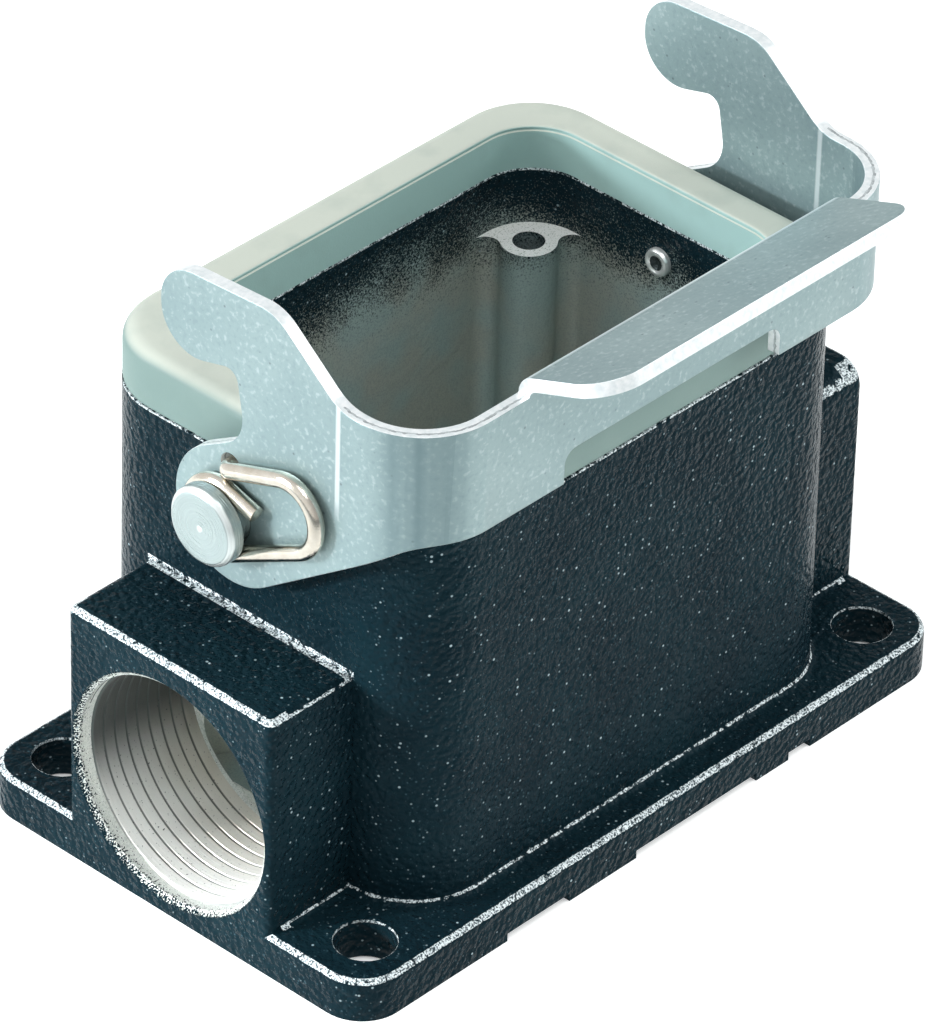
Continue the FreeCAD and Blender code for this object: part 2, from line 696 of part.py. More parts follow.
# Handle: the strip's top bends outwards into a tilted lip
tilt, inside_bend = math.radians(size("handle_tilt")), size("handle_bend")
outside_bend = inside_bend + gauge
bend_centre = Vector(-half_y - inside_bend, size("strip_top"), 0)
lip = Vector(-math.cos(tilt), math.sin(tilt), 0)
lip_normal = Vector(math.sin(tilt), math.cos(tilt), 0)
half_turn = math.pi / 4 - tilt / 2
bisector = Vector(math.cos(half_turn), math.sin(half_turn), 0)
lip_top = bend_centre + lip_normal * outside_bend
lip_length = size("handle_reach") + (half_y + lip_top.x) / math.cos(tilt)
lip_under = bend_centre + lip_normal * inside_bend
root = size("strip_top") - gauge
outline = new_sketch(lever, "HandleOutline", "YZ_Plane", "-=handle_near")
draw(outline, [
    Part.LineSegment(Vector(gauge - half_y, root, 0), Vector(gauge - half_y, bend_centre.y, 0)),
    Part.Arc(Vector(gauge - half_y, bend_centre.y, 0), bend_centre + bisector * outside_bend, lip_top),
    Part.LineSegment(lip_top, lip_top + lip * lip_length),
    Part.LineSegment(lip_top + lip * lip_length, lip_under + lip * lip_length),
    Part.LineSegment(lip_under + lip * lip_length, lip_under),
    Part.Arc(lip_under, bend_centre + bisector * inside_bend, Vector(-half_y, bend_centre.y, 0)),
    Part.LineSegment(Vector(-half_y, bend_centre.y, 0), Vector(-half_y, root, 0)),
    Part.LineSegment(Vector(-half_y, root, 0), Vector(gauge - half_y, root, 0)),
])
handle = pad(lever, "Handle", outline, "=handle_near + =handle_far")
lip_end = (lip_top + lip_under) * 0.5 + lip * lip_length


def lip_corner(across):
    """A test for the short edge through the sheet at one end of the lip."""
    def test(box, edge):
        centre = box.Center
        return near(centre.x, across) and near(centre.y, lip_end.x) and near(centre.z, lip_end.y)

    return test


def handle_steps(box, edge):
    """The two short edges where the handle rises from the strip's top."""
    level = near(box.ZMin, size("strip_top")) and near(box.ZMax, size("strip_top"))
    ends = near(box.XMin, -size("handle_near")) or near(box.XMin, size("handle_far"))
    return level and ends and near(box.XMin, box.XMax) and near(box.YLength, gauge)


lip_near = dress(lever, "Fillet", "LipCornerNear", handle, lip_corner(-size("handle_near")),
                 "Radius", "=handle_corner_near")
lip_far = dress(lever, "Fillet", "LipCornerFar", lip_near, lip_corner(size("handle_far")),
                "Radius", "=handle_corner_far")

# Strip window: its lower edge steps up over the seal
outline = new_sketch(lever, "WindowOutline", "XZ_Plane", "=lever_half_width + =lever_sheet")
window_half, window_top = size("window_half_length"), size("strip_bottom") + size("window_height")
draw(outline, rounded_edges([
    (-window_half, size("strip_bottom") - gauge, 0), (window_half, size("strip_bottom") - gauge, 0),
    (window_half, window_top, size("window_corner")), (-window_half, window_top, size("window_corner")),
]))
window = pocket(lever, "Window", outline, "3 * =lever_sheet")

outline = new_sketch(lever, "PivotHoleCircle", "YZ_Plane")
circles(outline, [("0", "=pivot_height")], "=pin_journal_radius + =pin_play")
pivot_holes = pocket(lever, "PivotHoles", outline)

# Wire clip, seen along X: from its cut end over the pin's groove, round under it,
# out along the arm in a round-cornered loop, and back to a leg bent into the arm
wire = size("wire_radius")
wrap = size("pin_groove_radius") + size("wire_play") + wire
cut_end = Vector(-size("clip_end_back"), size("clip_end_rise"), 0)
loop_low = Vector(-size("clip_low_back"), size("clip_low_rise"), 0)
leg = Vector(-size("clip_leg_back"), size("clip_leg_rise"), 0)
loop_high = Vector(-size("clip_high_back"), size("clip_high_rise"), 0)
loop_end = -size("clip_reach")
leg_bend = size("clip_leg_bend")
leg_hole = new_sketch(lever, "LegHoleCircle", "YZ_Plane")
draw(leg_hole, [Part.Circle(leg + pivot, Vector(0, 0, 1), wire + size("wire_hole_play"))])
leg_holes = pocket(lever, "LegHoles", leg_hole)


def touch(point, side):
    """Where the tangent from a point touches the wrap round the groove."""
    along = tangent_from(point, Vector(0, 0, 0), wrap, side)
    return point + along * math.sqrt(point.Length ** 2 - wrap ** 2)


def bend_points(before, corner, after, radius):
    """The start, middle and end of a round bend at a corner of the wire."""
    back, on = before - corner, after - corner
    back.normalize()
    on.normalize()
    half = back.getAngle(on) / 2
    middle = back + on
    middle.normalize()
    centre = corner + middle * (radius / math.sin(half))
    return corner + back * (radius / math.tan(half)), centre - middle * radius, \
        corner + on * (radius / math.tan(half))


upright = Vector(0, 1, 0)
wrap_start, wrap_end = touch(cut_end, 1), touch(loop_low, -1)
low_corner = crossing(loop_low, loop_low - wrap_end, Vector(loop_end, 0, 0), upright)
high_corner = crossing(loop_high, loop_high - leg, Vector(loop_end, 0, 0), upright)
low_bend = bend_points(wrap_end, low_corner, high_corner, size("clip_low_bend"))
high_bend = bend_points(low_corner, high_corner, leg, size("clip_high_bend"))
homeward = leg - high_corner
homeward.normalize()
leg_start = leg - homeward * leg_bend
inward = Vector(0, 0, 1)
leg_turn = leg_start + inward * leg_bend + (homeward - inward) * (leg_bend * math.sqrt(0.5))
leg_tip = leg + inward * (wire_plane - lever_inside)


def on_arm(point):
    """A point of the clip's own plane, placed outside the cable-end arm."""
    return Vector(point.z - wire_plane, point.x, point.y + pivot.y)


clip_runs = [
    (cut_end, wrap_start),
    (wrap_start, Vector(wrap, 0, 0), wrap_end),
    (wrap_end, low_bend[0]),
    low_bend,
    (low_bend[2], high_bend[0]),
    high_bend,
    (high_bend[2], leg_start),
    (leg_start, leg_turn, leg + inward * leg_bend),
    (leg + inward * leg_bend, leg_tip),
]
path_edges = []
for run in clip_runs:
    points = [on_arm(point) for point in run]
    made = Part.LineSegment(*points) if len(points) == 2 else Part.Arc(*points)
    path_edges.append(made.toShape())
clip_path = doc.addObject("Part::Feature", "ClipPath")
clip_path.Shape = Part.Wire(path_edges)
clip_section = doc.addObject("Part::Circle", "ClipSection")
bind(clip_section, "Radius", "=wire_radius")
outset = on_arm(wrap_start) - on_arm(cut_end)
clip_section.Placement = FreeCAD.Placement(on_arm(cut_end), FreeCAD.Rotation(Vector(0, 0, 1), outset))
clip_near = doc.addObject("Part::Sweep", "wire_clip_cable_end")
clip_near.Label = "wire_clip_cable_end"
clip_near.Sections = [clip_section]
clip_near.Spine = (clip_path, [f"Edge{number + 1}" for number in range(len(path_edges))])
clip_near.Solid = True
clip_near.Frenet = False
clip_far = doc.addObject("Part::Mirroring", "wire_clip_closed_end")
clip_far.Label = "wire_clip_closed_end"
clip_far.Source = clip_near
clip_far.Base = Vector(0, 0, 0)
clip_far.Normal = Vector(1, 0, 0)

doc.recompute()

# Check every object, then write each piece under its label
pieces = [housing, rim_seal, *pins, lever, clip_near, clip_far]
for item in doc.Objects:
    if "Invalid" in item.State or "Error" in item.State:
        raise RuntimeError(f"{item.Name} failed: {item.State}")
for piece in pieces:
    if piece.Shape.isNull() or not piece.Shape.isValid():
        raise RuntimeError(f"{piece.Label} has no valid shape")
    if len(piece.Shape.Solids) != 1:
        raise RuntimeError(f"{piece.Label} is {len(piece.Shape.Solids)} solids")
os.makedirs("parts", exist_ok=True)
for piece in pieces:
    piece.Shape.exportStep(f"parts/{piece.Label}.step")
    print(piece.Label, round(piece.Shape.Volume / 1000, 3), "cm3")
wire_length = sum(edge.Length for edge in path_edges)
print("wire length", round(wire_length, 2), "volume ratio",
      round(clip_near.Shape.Volume / (wire_length * math.pi * wire ** 2), 4))
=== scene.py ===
import math
import bmesh
import bpy
import numpy as np
from mathutils import Matrix, Vector


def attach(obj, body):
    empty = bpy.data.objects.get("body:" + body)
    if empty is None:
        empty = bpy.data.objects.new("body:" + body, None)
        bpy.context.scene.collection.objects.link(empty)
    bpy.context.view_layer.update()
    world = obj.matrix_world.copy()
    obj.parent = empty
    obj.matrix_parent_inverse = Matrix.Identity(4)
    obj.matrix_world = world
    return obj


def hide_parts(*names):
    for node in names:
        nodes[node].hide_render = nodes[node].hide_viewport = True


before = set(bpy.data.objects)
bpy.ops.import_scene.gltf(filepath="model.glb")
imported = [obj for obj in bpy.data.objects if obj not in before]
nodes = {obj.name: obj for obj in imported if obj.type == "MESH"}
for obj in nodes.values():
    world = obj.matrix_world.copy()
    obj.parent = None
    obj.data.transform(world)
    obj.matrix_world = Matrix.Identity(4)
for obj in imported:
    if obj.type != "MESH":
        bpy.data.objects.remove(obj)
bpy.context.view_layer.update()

# The viewpoint: a long lens high over the cable end, on the lever's side.
# Azimuth, elevation, roll and distance put the casting's edges where they are seen.
AZIMUTH, ELEVATION, ROLL = (math.radians(angle) for angle in (-47.631, 35.297, 1.549))
DISTANCE, TARGET, FOCAL_PIXELS, TALL_PIXELS = 0.803993, Vector((0.000024, 0.001084, 0.02588)), 8228.24, 1024
backwards = Vector((math.sin(AZIMUTH) * math.cos(ELEVATION), -math.cos(AZIMUTH) * math.cos(ELEVATION),
                    math.sin(ELEVATION)))
level = Vector((math.cos(AZIMUTH), math.sin(AZIMUTH), 0))
raised = backwards.cross(level)
right = level * math.cos(ROLL) + raised * math.sin(ROLL)
upward = raised * math.cos(ROLL) - level * math.sin(ROLL)
lens = bpy.data.cameras.new("camera")
lens.sensor_fit = "VERTICAL"
lens.sensor_height = 36
lens.lens = FOCAL_PIXELS / TALL_PIXELS * lens.sensor_height
lens.clip_start, lens.clip_end = 0.05, 20
camera = bpy.data.objects.new("camera", lens)
turn = Matrix((right, upward, backwards)).transposed().to_4x4()
camera.matrix_world = Matrix.Translation(TARGET + backwards * DISTANCE) @ turn
bpy.context.scene.collection.objects.link(camera)
bpy.context.scene.camera = camera
bpy.context.scene.view_settings.view_transform = "Standard"


def linear(code):
    """An sRGB hex colour as linear red, green, blue and 1: ((c + 0.055) / 1.055) ^ 2.4 above 0.04."""
    values = [int(code[number:number + 2], 16) / 255 for number in (1, 3, 5)]
    return [v / 12.92 if v <= 0.04045 else ((v + 0.055) / 1.055) ** 2.4 for v in values] + [1.0]


def add(owner, kind, inputs=None, output=0, **settings):
    """Adds one shader node with its settings, sets or links its inputs, and returns one output."""
    tree = owner.node_tree
    node = tree.nodes.new("ShaderNode" + kind)
    for name, value in settings.items():
        setattr(node, name, value)
    for key, value in (inputs or {}).items():
        if isinstance(value, bpy.types.NodeSocket):
            tree.links.new(value, node.inputs[key])
        else:
            node.inputs[key].default_value = value
    return node.outputs[output] if len(node.outputs) else node


# Studio: a white paper sweep under and behind the part, and soft boxes round it.
# The paper shows as plain white and still takes the part's shadow.
world = bpy.data.worlds.new("studio air")
bpy.context.scene.world = world
world.use_nodes = True
world.node_tree.nodes.clear()
# plain white to the camera and in gloss and clear material, a soft even light to all else
seen, gleam, through = (add(world, "LightPath", output=ray) for ray in (0, 3, 6))
shown = add(world, "Math", {0: seen, 1: gleam}, operation="MAXIMUM")
shown = add(world, "Math", {0: shown, 1: through}, operation="MAXIMUM")
air = add(world, "Background", {0: linear("#edf6fa"), 1: 0.5})
# in metal the white air falls off a little from the lit left side towards the back right
aside = add(world, "VectorMath", {0: add(world, "TexCoord"), 1: (-0.74, 0.42, -0.2)}, output=1,
            operation="DOT_PRODUCT")
falloff = add(world, "MapRange", {0: aside, 1: -0.5, 2: 0.6, 3: 0.5, 4: 1.0}, interpolation_type="SMOOTHSTEP")
bright = add(world, "Math", {0: falloff, 1: seen}, operation="MAXIMUM")
paper_air = add(world, "Background", {0: linear("#ffffff"), 1: bright})
both = add(world, "MixShader", {0: shown, 1: air, 2: paper_air})
add(world, "OutputWorld", {0: both})

paper = bpy.data.materials.new("white paper")
paper.use_nodes = True
paper.node_tree.nodes.clear()
# seen in metal and gloss, the paper is less lit in front of the part than beside it
ahead = add(paper, "VectorMath", {0: add(paper, "TexCoord", output=3), 1: (-0.67, -0.74, 0.0)}, output=1,
            operation="DOT_PRODUCT")
shade = add(paper, "MapRange", {0: ahead, 1: -0.02, 2: 0.3, 3: 0.0, 4: 1.0}, interpolation_type="SMOOTHSTEP")
shade = add(paper, "Math", {0: shade, 1: add(paper, "LightPath", output=3)}, operation="MULTIPLY")
matt = add(paper, "BsdfDiffuse",
           {0: add(paper, "Mix", {0: shade, 6: linear("#f4f4f2"), 7: linear("#707678")}, output=2,
                   data_type="RGBA")})
glow = add(paper, "Emission", {0: linear("#ffffff"), 1: add(paper, "MapRange", {0: shade, 3: 0.42, 4: 0.08})})
add(paper, "OutputMaterial", {0: add(paper, "AddShader", {0: matt, 1: glow})})
sweep = bpy.data.meshes.new("floor")
reach = 6.0
sweep.from_pydata([(-reach, -reach, 0), (reach, -reach, 0), (reach, reach, 0), (-reach, reach, 0)], [],
                  [(0, 1, 2, 3)])
sweep.materials.append(paper)
floor = bpy.data.objects.new("floor", sweep)
bpy.context.scene.collection.objects.link(floor)

for name, stand, size, power, code in (
    ("box left", (-0.75, 0.6, 0.62), 0.4, 4.2, "#ffffff"),
    ("box low", (-0.95, 0.62, 0.2), 0.14, 8.0, "#f2f8ff"),
    ("box right", (0.75, -0.65, 0.6), 0.7, 6.6, "#ffffff"),
    ("box above", (-0.28, -0.32, 1.0), 0.4, 3.2, "#ffffff"),
):
    lamp = bpy.data.lights.new(name, "AREA")
    lamp.shape, lamp.size, lamp.energy, lamp.color = "SQUARE", size, power, linear(code)[:3]
    soft_box = bpy.data.objects.new(name, lamp)
    aim = Vector((0, 0, 0.03)) - Vector(stand)
    soft_box.matrix_world = Matrix.Translation(stand) @ aim.to_track_quat("-Z", "Y").to_matrix().to_4x4()
    bpy.context.scene.collection.objects.link(soft_box)
# a snooted lamp looks into the bore, and lights nothing but the end of the boss
beam = bpy.data.lights.new("snoot", "SPOT")
beam.energy, beam.spot_size, beam.spot_blend, beam.shadow_soft_size = 50.0, math.radians(3.8), 0.5, 0.03
snoot = bpy.data.objects.new("snoot", beam)
snoot_place = Vector((-0.62, 0.34, 0.22))
aim = Vector((-0.042, -0.001, 0.0135)) - snoot_place
snoot.matrix_world = Matrix.Translation(snoot_place) @ aim.to_track_quat("-Z", "Y").to_matrix().to_4x4()
bpy.context.scene.collection.objects.link(snoot)

# Housing: one aluminium pressure die casting under black textured powder coat.
# The bore, the column tops and the lower cavity are bare metal, cut or masked.
RIM_HEIGHT, RIB_HEIGHT, PLATE_TOP = 47.0, 48.0, 4.8
BORE_HEIGHT, BORE_RADIUS, BORE_START, BORE_END = 14.4, 12.45, -42.1, -25.9
CAVITY_HALF_LENGTH, CAVITY_HALF_WIDTH, CAVITY_FLOOR = 26.3, 17.5, 3.45
COLUMN_X, COLUMN_Y, COLUMN_TOP, SCREW_HOLE_RADIUS = 22.0, 13.5, 41.6, 1.65
FOOT_HOLE_X, FOOT_HOLE_Y, FOOT_HOLE_RADIUS = 36.0, 20.5, 3.15
PLATE_EDGE_X, PLATE_EDGE_Y = 39.5, 23.2
END_WALL, BOSS_TOP, BOSS_TOP_HALF_WIDTH = -31.4, 29.9, 13.7


def new_finish(name):
    """A new node material, empty but for the piece's own coordinates, in millimetres."""
    material = bpy.data.materials.new(name)
    material.use_nodes = True
    material.node_tree.nodes.clear()
    metres = add(material, "TexCoord", output=3)
    place = add(material, "VectorMath", {0: metres, 1: (1000, 1000, 1000)}, operation="MULTIPLY")
    return material, place


# Powder coat on a die casting: black with a blue cast, half gloss, in pebbles 0.7 mm across
casting, place = new_finish("powder coated die casting")
x, y, z = (add(casting, "SeparateXYZ", {0: place}, output=axis) for axis in range(3))
facing = add(casting, "SeparateXYZ", {0: add(casting, "TexCoord", output=1)}, output=2)
peel = add(casting, "TexNoise", {"Vector": place, "Scale": 1.35, "Detail": 2.0, "Roughness": 0.45})
pebble = add(casting, "TexVoronoi", {"Vector": place, "Scale": 1.45})
blotch = add(casting, "TexNoise", {"Vector": place, "Scale": 0.12, "Detail": 2.0})
fine = add(casting, "TexNoise", {"Vector": place, "Scale": 5.5, "Detail": 2.0})
jag = add(casting, "TexNoise", {"Vector": place, "Scale": 1.5, "Detail": 2.5, "Roughness": 0.55})

# inside the cavity: not past its walls either way, and not below its floor
mirrored = add(casting, "VectorMath", {0: place}, operation="ABSOLUTE")
past_wall = add(casting, "VectorMath",
                {0: mirrored, 1: (CAVITY_HALF_LENGTH + 0.2, CAVITY_HALF_WIDTH + 0.2, 0)}, operation="SUBTRACT")
past_wall = [add(casting, "SeparateXYZ", {0: past_wall}, output=axis) for axis in (0, 1)]
past_wall = add(casting, "Math", {0: past_wall[0], 1: past_wall[1]}, operation="MAXIMUM")
within = add(casting, "Math", {0: past_wall, 1: 0.0}, operation="LESS_THAN")
above_floor = add(casting, "Math", {0: z, 1: CAVITY_FLOOR}, operation="GREATER_THAN")
inside = add(casting, "Math", {0: within, 1: above_floor}, operation="MULTIPLY")
outside = add(casting, "Math", {0: 1.0, 1: inside}, operation="SUBTRACT")

# overspray reaches down the cavity's walls from the rim and thins out through a speckle
depth = add(casting, "Math", {0: blotch, 1: 9.0, 2: z}, operation="MULTIPLY_ADD")
cover = add(casting, "MapRange", {0: depth, 1: 37.5, 2: 53.0}, interpolation_type="SMOOTHSTEP")
speckle = add(casting, "Math", {0: fine, 1: 1.5, 2: cover}, operation="MULTIPLY_ADD")
unpainted = add(casting, "MapRange", {0: speckle, 1: 1.0, 2: 1.6, 3: 1.0, 4: 0.0},
                interpolation_type="SMOOTHSTEP")
bare_inside = add(casting, "Math", {0: inside, 1: unpainted}, operation="MULTIPLY")

# the bore: nearer its axis than its own radius, with overspray speckled round the mouth
from_axis = add(casting, "VectorMath", {0: place, 1: (0, 0, BORE_HEIGHT)}, operation="SUBTRACT")
off_bore = add(casting, "VectorMath", {0: from_axis, 1: (0, 1, 1)}, operation="MULTIPLY")
off_bore = add(casting, "VectorMath", {0: off_bore}, output=1, operation="LENGTH")
ragged = add(casting, "Math", {0: fine, 1: 0.5, 2: off_bore}, operation="MULTIPLY_ADD")
bore = add(casting, "MapRange", {0: ragged, 1: BORE_RADIUS + 0.62, 2: BORE_RADIUS + 0.72, 3: 1.0, 4: 0.0})
before_end = add(casting, "Math", {0: x, 1: BORE_END}, operation="LESS_THAN")
bore = add(casting, "Math", {0: bore, 1: before_end}, operation="MULTIPLY")
# overspray lies thickest at the foot of the mouth and on its far side, and ends 1.4 mm in
low_side = add(casting, "VectorMath", {0: from_axis, 1: (0, 0.06, -0.05)}, output=1, operation="DOT_PRODUCT")
low_side = add(casting, "MapRange", {0: low_side, 1: -0.6, 2: 0.6, 3: 0.25, 4: 1.0})
spray = add(casting, "MapRange", {0: x, 1: BORE_START, 2: BORE_START + 1.4, 3: 0.27, 4: 0.0})
spray = add(casting, "Math", {0: spray, 1: low_side, 2: fine}, operation="MULTIPLY_ADD")
spray = add(casting, "MapRange", {0: spray, 1: 0.66, 2: 0.7, 3: 1.0, 4: 0.0})
bore = add(casting, "Math", {0: bore, 1: spray}, operation="MULTIPLY")

# the column tops are cut flat, and their holes are painted dark inside, a painted shade
at_columns = add(casting, "Math", {0: z, 1: COLUMN_TOP, 2: 0.08}, operation="COMPARE")
flat_up = add(casting, "Math", {0: facing, 1: 0.75}, operation="GREATER_THAN")
column = add(casting, "Math", {0: at_columns, 1: flat_up}, operation="MULTIPLY")
column = add(casting, "Math", {0: column, 1: inside}, operation="MULTIPLY")
off_screw = add(casting, "VectorMath", {0: mirrored, 1: (COLUMN_X, COLUMN_Y, 0)}, operation="SUBTRACT")
off_screw = add(casting, "VectorMath", {0: off_screw, 1: (1, 1, 0)}, operation="MULTIPLY")
off_screw = add(casting, "VectorMath", {0: off_screw}, output=1, operation="LENGTH")
screw_hole = add(casting, "Math", {0: off_screw, 1: SCREW_HOLE_RADIUS + 0.1}, operation="LESS_THAN")
below_top = add(casting, "Math", {0: z, 1: COLUMN_TOP - 0.1}, operation="LESS_THAN")
screw_hole = add(casting, "Math", {0: screw_hole, 1: below_top}, operation="MULTIPLY")
bare = add(casting, "Math", {0: bare_inside, 1: bore}, operation="MAXIMUM")
bare = add(casting, "Math", {0: bare, 1: column}, operation="MAXIMUM", use_clamp=True)

# where a side turns into a top, at a rounded edge or foot, and at the rims of the walls and of
# the foot holes, the coat is thin and painted bright as wear and painted highlight, in jagged marks
# 0.7 mm apart made of strokes
turn_up = add(casting, "MapRange", {0: facing, 1: 0.14, 2: 0.45}, interpolation_type="SMOOTHSTEP")
wide_flat = add(casting, "MapRange", {0: facing, 1: 0.93, 2: 0.995, 3: 1.0, 4: 0.0},
                interpolation_type="SMOOTHSTEP")
thin_flat = add(casting, "MapRange", {0: facing, 1: 0.6, 2: 0.85, 3: 1.0, 4: 0.0},
                interpolation_type="SMOOTHSTEP")
# the plate's own edge is painted bright over its whole rounding, other edges in a thinner line
past_edge = add(casting, "VectorMath", {0: mirrored, 1: (PLATE_EDGE_X, PLATE_EDGE_Y, 0)}, operation="SUBTRACT")
past_edge = [add(casting, "SeparateXYZ", {0: past_edge}, output=axis) for axis in (0, 1)]
past_edge = add(casting, "Math", {0: past_edge[0], 1: past_edge[1]}, operation="MAXIMUM")
wide_edge = add(casting, "Math", {0: past_edge, 1: 0.0}, operation="GREATER_THAN")
turn_flat = add(casting, "Mix", {0: wide_edge, 2: thin_flat, 3: wide_flat})
turning = add(casting, "Math", {0: turn_up, 1: turn_flat}, operation="MULTIPLY")
off_mouth = add(casting, "Math", {0: off_bore, 1: BORE_RADIUS + 0.75}, operation="GREATER_THAN")
turning = add(casting, "Math", {0: turning, 1: off_mouth}, operation="MULTIPLY")
# one more bright line, wear and painted highlight, lies across the cable boss, where its top meets the end wall
at_wall = add(casting, "Math", {0: x, 1: END_WALL, 2: 0.45}, operation="COMPARE")
at_top = add(casting, "Math", {0: z, 1: BOSS_TOP, 2: 0.4}, operation="COMPARE")
on_boss = add(casting, "Math", {0: y}, operation="ABSOLUTE")
on_boss = add(casting, "Math", {0: on_boss, 1: BOSS_TOP_HALF_WIDTH}, operation="LESS_THAN")
boss_back = add(casting, "Math", {0: at_wall, 1: at_top}, operation="MULTIPLY")
boss_back = add(casting, "Math", {0: boss_back, 1: on_boss}, operation="MULTIPLY")
# the rim is painted bright along its outer edge, the rib on it along its inner one, as wear and painted
# highlight
rim_line = add(casting, "Math", {0: z, 1: RIM_HEIGHT - 0.2}, operation="GREATER_THAN")
rib_line = add(casting, "Math", {0: z, 1: RIB_HEIGHT - 0.25}, operation="GREATER_THAN")
rim_line = add(casting, "Math", {0: rim_line, 1: outside}, operation="MULTIPLY")
rib_line = add(casting, "Math", {0: rib_line, 1: inside}, operation="MULTIPLY")
# the top 0.28 mm of each foot hole's wall is painted bright, a painted highlight
off_foot = add(casting, "VectorMath", {0: mirrored, 1: (FOOT_HOLE_X, FOOT_HOLE_Y, 0)}, operation="SUBTRACT")
off_foot = add(casting, "VectorMath", {0: off_foot, 1: (1, 1, 0)}, operation="MULTIPLY")
off_foot = add(casting, "VectorMath", {0: off_foot}, output=1, operation="LENGTH")
in_foot = add(casting, "Math", {0: off_foot, 1: FOOT_HOLE_RADIUS + 0.02}, operation="LESS_THAN")
near_top = add(casting, "Math", {0: z, 1: PLATE_TOP - 0.28}, operation="GREATER_THAN")
hole_rim = add(casting, "Math", {0: in_foot, 1: near_top}, operation="MULTIPLY")
edges = turning
for line in (boss_back, rim_line, rib_line, hole_rim):
    edges = add(casting, "Math", {0: edges, 1: line}, operation="MAXIMUM")
wear_and_highlight = add(casting, "Math", {0: jag, 1: 0.08}, operation="ADD")
wear_and_highlight = add(casting, "Math", {0: wide_edge, 1: 0.05, 2: wear_and_highlight}, operation="MULTIPLY_ADD")
wear_and_highlight = add(casting, "Math", {0: wear_and_highlight, 1: edges}, operation="MULTIPLY")
wear_and_highlight = add(casting, "MapRange", {0: wear_and_highlight, 1: 0.46, 2: 0.56}, interpolation_type="SMOOTHSTEP")
strokes = add(casting, "MapRange", {0: fine, 1: 0.42, 2: 0.52, 3: 0.12, 4: 1.0})
wear_and_highlight = add(casting, "Math", {0: wear_and_highlight, 1: strokes}, operation="MULTIPLY")
coated = add(casting, "Math", {0: 1.0, 1: bare}, operation="SUBTRACT", use_clamp=True)
wear_and_highlight = add(casting, "Math", {0: wear_and_highlight, 1: coated}, operation="MULTIPLY")

# specks of light dust and painted glints lie in the coat: one in each 0.9 mm cell, most of them faint, a few
# white
dot = add(casting, "TexVoronoi", {"Vector": place, "Scale": 1.15})
luck = add(casting, "SeparateXYZ", {0: add(casting, "TexVoronoi", {"Vector": place, "Scale": 1.15}, output=1)})
wide = add(casting, "MapRange", {0: luck, 1: 0.25, 2: 1.0, 3: 0.08, 4: 0.18})
dust_and_glints = add(casting, "Math", {0: dot, 1: wide}, operation="DIVIDE")
dust_and_glints = add(casting, "MapRange", {0: dust_and_glints, 1: 0.6, 2: 1.1, 3: 1.0, 4: 0.0})
glint = add(casting, "Math", {0: luck, 1: 2.5}, operation="POWER")
glint = add(casting, "Math", {0: glint, 1: 0.65, 2: 0.15}, operation="MULTIPLY_ADD")
dust_and_glints = add(casting, "Math", {0: dust_and_glints, 1: glint}, operation="MULTIPLY", use_clamp=True)
coat = add(casting, "Mix",
           {0: add(casting, "MapRange", {0: blotch, 1: 0.35, 2: 0.7}), 6: linear("#0e2027"),
            7: linear("#11262d")}, output=2, data_type="RGBA")
# the crests of the pebbles are painted paler than the hollows between them, a painted highlight
crest_highlight = add(casting, "TexVoronoi", {"Vector": place, "Scale": 1.9})
crest_highlight = add(casting, "MapRange", {0: crest_highlight, 1: 0.1, 2: 0.3, 3: 1.0, 4: 0.0}, interpolation_type="SMOOTHSTEP")
some = add(casting, "MapRange", {0: jag, 1: 0.45, 2: 0.6, 3: 0.0, 4: 0.35})
coat = add(casting, "Mix",
           {0: add(casting, "Math", {0: crest_highlight, 1: some}, operation="MULTIPLY"), 6: coat, 7: linear("#55707a")},
           output=2, data_type="RGBA")
coat = add(casting, "Mix", {0: dust_and_glints, 6: coat, 7: linear("#b4c8ce")}, output=2, data_type="RGBA")
wear_and_highlight_tone = add(casting, "Mix",
             {0: add(casting, "MapRange", {0: fine, 1: 0.32, 2: 0.6}), 6: linear("#aabec4"),
              7: linear("#eaf1f2")}, output=2, data_type="RGBA")
coat = add(casting, "Mix", {0: wear_and_highlight, 6: coat, 7: wear_and_highlight_tone}, output=2, data_type="RGBA")
cast_metal = add(casting, "Mix",
                 {0: add(casting, "MapRange", {0: blotch, 1: 0.38, 2: 0.6}, interpolation_type="SMOOTHSTEP"),
                  6: linear("#9eb0ac"), 7: linear("#a9ada3")}, output=2, data_type="RGBA")
mottle = add(casting, "MapRange", {0: fine, 1: 0.4, 2: 0.65, 3: 0.0, 4: 0.35}, interpolation_type="SMOOTHSTEP")
cast_metal = add(casting, "Mix", {0: mottle, 6: cast_metal, 7: linear("#7f8a8c")}, output=2, data_type="RGBA")
cut_metal = add(casting, "Mix",
                {0: add(casting, "MapRange", {0: fine, 1: 0.3, 2: 0.62}), 6: linear("#ccd2cc"),
                 7: linear("#f1f3ee")}, output=2, data_type="RGBA")
metal = add(casting, "Mix",
            {0: add(casting, "Math", {0: bore, 1: column}, operation="MAXIMUM"), 6: cast_metal, 7: cut_metal},
            output=2, data_type="RGBA")
specked = add(casting, "Mix",
              {0: add(casting, "MapRange", {0: fine, 1: 0.3, 2: 0.45}), 6: linear("#b4bcb2"),
               7: linear("#fcfdf9")}, output=2, data_type="RGBA")
metal = add(casting, "Mix", {0: column, 6: metal, 7: specked}, output=2, data_type="RGBA")
